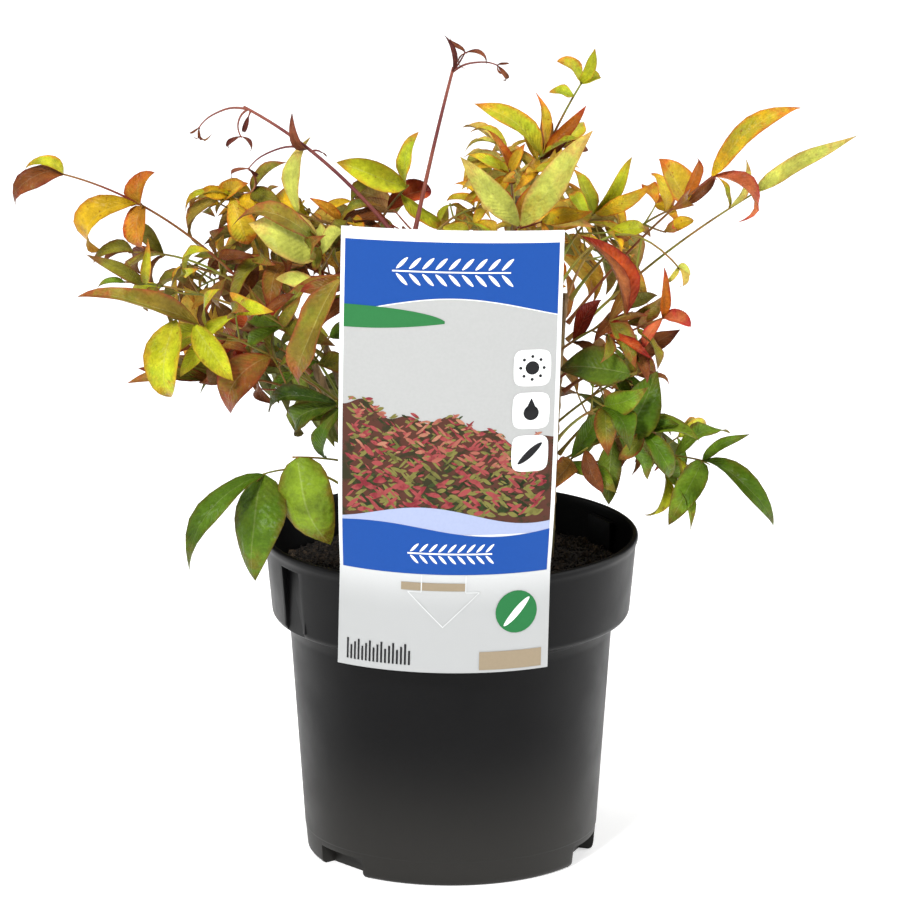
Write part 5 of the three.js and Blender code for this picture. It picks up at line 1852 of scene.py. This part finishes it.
def print_twigs(card):
    """A white twig on the header, and a smaller one on the band."""
    for middle, height, size in TWIGS:
        reach, thin = TWIG_HALF * size, 0.28
        card.area(6, "white", middle - reach, middle + reach, height - thin, height + thin, 1)
        for k in range(TWIG_LEAVES):
            u = middle + (k - (TWIG_LEAVES - 1) / 2) * TWIG_SPACING * size
            for side in (1, -1):
                card.spot(6, "white", u + 1.2 * size, height + side * 3.1 * size, 2.2 * size, 1.05 * size,
                          1.6, side * 0.75)


def print_tokens(card):
    """White tokens with plain motifs down the right side."""
    u = TOKEN_PLACE
    for motif, z in TOKENS.items():
        card.spot(6, "white", u, z, TOKEN_SIZE, TOKEN_SIZE, TOKEN_SQUARENESS)
        if motif == "sun":
            card.spot(7, "black", u, z, 2.6)
            for n in range(8):
                a = n * math.pi / 4
                card.spot(7, "black", u + 4.4 * math.cos(a), z + 4.4 * math.sin(a), 0.6)
        elif motif == "drop":
            card.spot(7, "black", u, z - 0.8, 2.9)
            card.area(7, "black", u - 2.1, u + 2.1, z,
                      lambda c: z + 0.4 + 4.6 * (1 - abs(c - u) / 2.1), 3, 0.3)
        else:
            card.spot(7, "black", u, z, 4.6, 1.9, LEAF_SQUARENESS, 0.7)


def print_foot(card):
    """A green roundel with a leaf, two beige panels and a row of upright strokes."""
    card.spot(6, "deep_green", *ROUNDEL, 8.2)
    card.spot(7, "white", *ROUNDEL, 5.0, 2.0, LEAF_SQUARENESS, 0.8)
    card.area(6, "tan", -16.0, 8.0, 121.2, 124.2, 2)
    card.area(6, "tan", 14.0, 38.5, 90.5, 97.5, 3)
    for n in range(STROKES):
        u = -37.5 + n * STROKE_SPACING
        tall = STROKE_HEIGHTS[n % len(STROKE_HEIGHTS)]
        card.area(6, "black", u, u + 0.75, STROKE_FOOT, STROKE_FOOT + tall, 3, 1.0)


def print_arrow(card):
    """Fine lines round the arrow that is cut for the hook."""
    half, top = ARROW_HALF, ARROW_TOP
    for u0, u1 in ((-half, -8.3), (8.3, half)):
        card.area(6, "line", u0, u1, top, 120.8, 1, 1.0)
    card.area(6, "line", -half, 0.0, lambda u: top - (u + half), lambda u: 120.9 - (u + half), 1, 1.0)
    card.area(6, "line", 0.0, half, lambda u: ARROW_TIP + u, lambda u: 107.4 + u, 1, 1.0)
    for u in (-8.5, 8.1):
        card.area(6, "line", u, u + 0.4, 120.6, 127.3, 2, 1.0)


def make_label():
    """The card and its printing."""
    card = make_card()
    soup = Print(label_inks())
    print_picture(soup)
    print_bands(soup)
    print_twigs(soup)
    print_tokens(soup)
    print_foot(soup)
    print_arrow(soup)
    print_piece = soup.piece("label_print", list(soup.inks.values()), smooth=30)
    face_outwards(print_piece)
    for piece in (card, print_piece):
        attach(piece, "root")
        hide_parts("plant_label")


# ---------------------------------------------------------------- stage, light and camera


FLOOR_HALF = 6000
FLOOR_GLOW = 0.46
WORLD_LIGHT = 0.05
# name, place, aim, size in metres, power in watts
LAMPS = (
    ("key_light", (-0.8, -1.9, 1.6), (0, 0, 0.15), 0.45, 61),
    ("left_light", (-2.7, 0.15, 1.09), (0, 0, 0.12), 3.1, 30),
    ("right_light", (2.7, 0.0, 1.09), (0, 0, 0.12), 3.1, 112),
    ("top_light", (0.0, 0.5, 2.6), (0, 0.5, 0.0), 2.6, 36),
)
CAMERA_PLACE = (-0.0003, -3.3, 1.0308)
CAMERA_DIP = 0.25902
CAMERA_LENS = 359.8
CAMERA_SENSOR = 36.0
CAMERA_REACH = 30


def make_floor():
    """The white floor that the plant stands on."""
    h = FLOOR_HALF
    soup = Soup()
    soup.add([(-h, -h, 0), (h, -h, 0), (h, h, 0), (-h, h, 0)], [[0, 1, 2, 3]])
    s = Shader("floor_white")
    tone = s.mix(s.range(s.noise(3, 2), 0.3, 0.7), (0.9, 0.9, 0.9), (0.92, 0.92, 0.92))
    s.join(tone, "Base Color")
    s.join(tone, "Emission Color")
    s.set(Roughness=0.9, Specular_IOR_Level=0.1, Emission_Strength=FLOOR_GLOW)
    piece = soup.piece("floor", [s.material])


def make_world():
    world = bpy.data.worlds.new("studio")
    bpy.context.scene.world = world
    world.use_nodes = True
    sky = world.node_tree.nodes["Background"]
    sky.inputs["Color"].default_value = (1.0, 1.0, 1.0, 1.0)
    sky.inputs["Strength"].default_value = WORLD_LIGHT


def make_lamps():
    for name, place, aim, size, power in LAMPS:
        data = bpy.data.lights.new(name, "AREA")
        data.size = size
        data.energy = power
        lamp = bpy.data.objects.new(name, data)
        lamp.visible_camera = False
        lamp.location = place
        direction = Vector(aim) - Vector(place)
        lamp.rotation_euler = direction.to_track_quat("-Z", "Y").to_euler()
        bpy.context.scene.collection.objects.link(lamp)


def make_camera():
    data = bpy.data.cameras.new("camera")
    data.lens = CAMERA_LENS
    data.sensor_width = CAMERA_SENSOR
    data.clip_end = CAMERA_REACH
    camera = bpy.data.objects.new("camera", data)
    camera.location = CAMERA_PLACE
    camera.rotation_euler = (math.pi / 2 - CAMERA_DIP, 0, 0)
    bpy.context.scene.collection.objects.link(camera)
    bpy.context.scene.camera = camera
    bpy.context.scene.view_settings.view_transform = "Standard"


fronds = grow_crown()
grow_sprigs(fronds)
make_leaves(fronds)
make_stalks(fronds)
make_canes()
make_pot()
make_soil()
make_label()
make_floor()
make_world()
make_lamps()
make_camera()
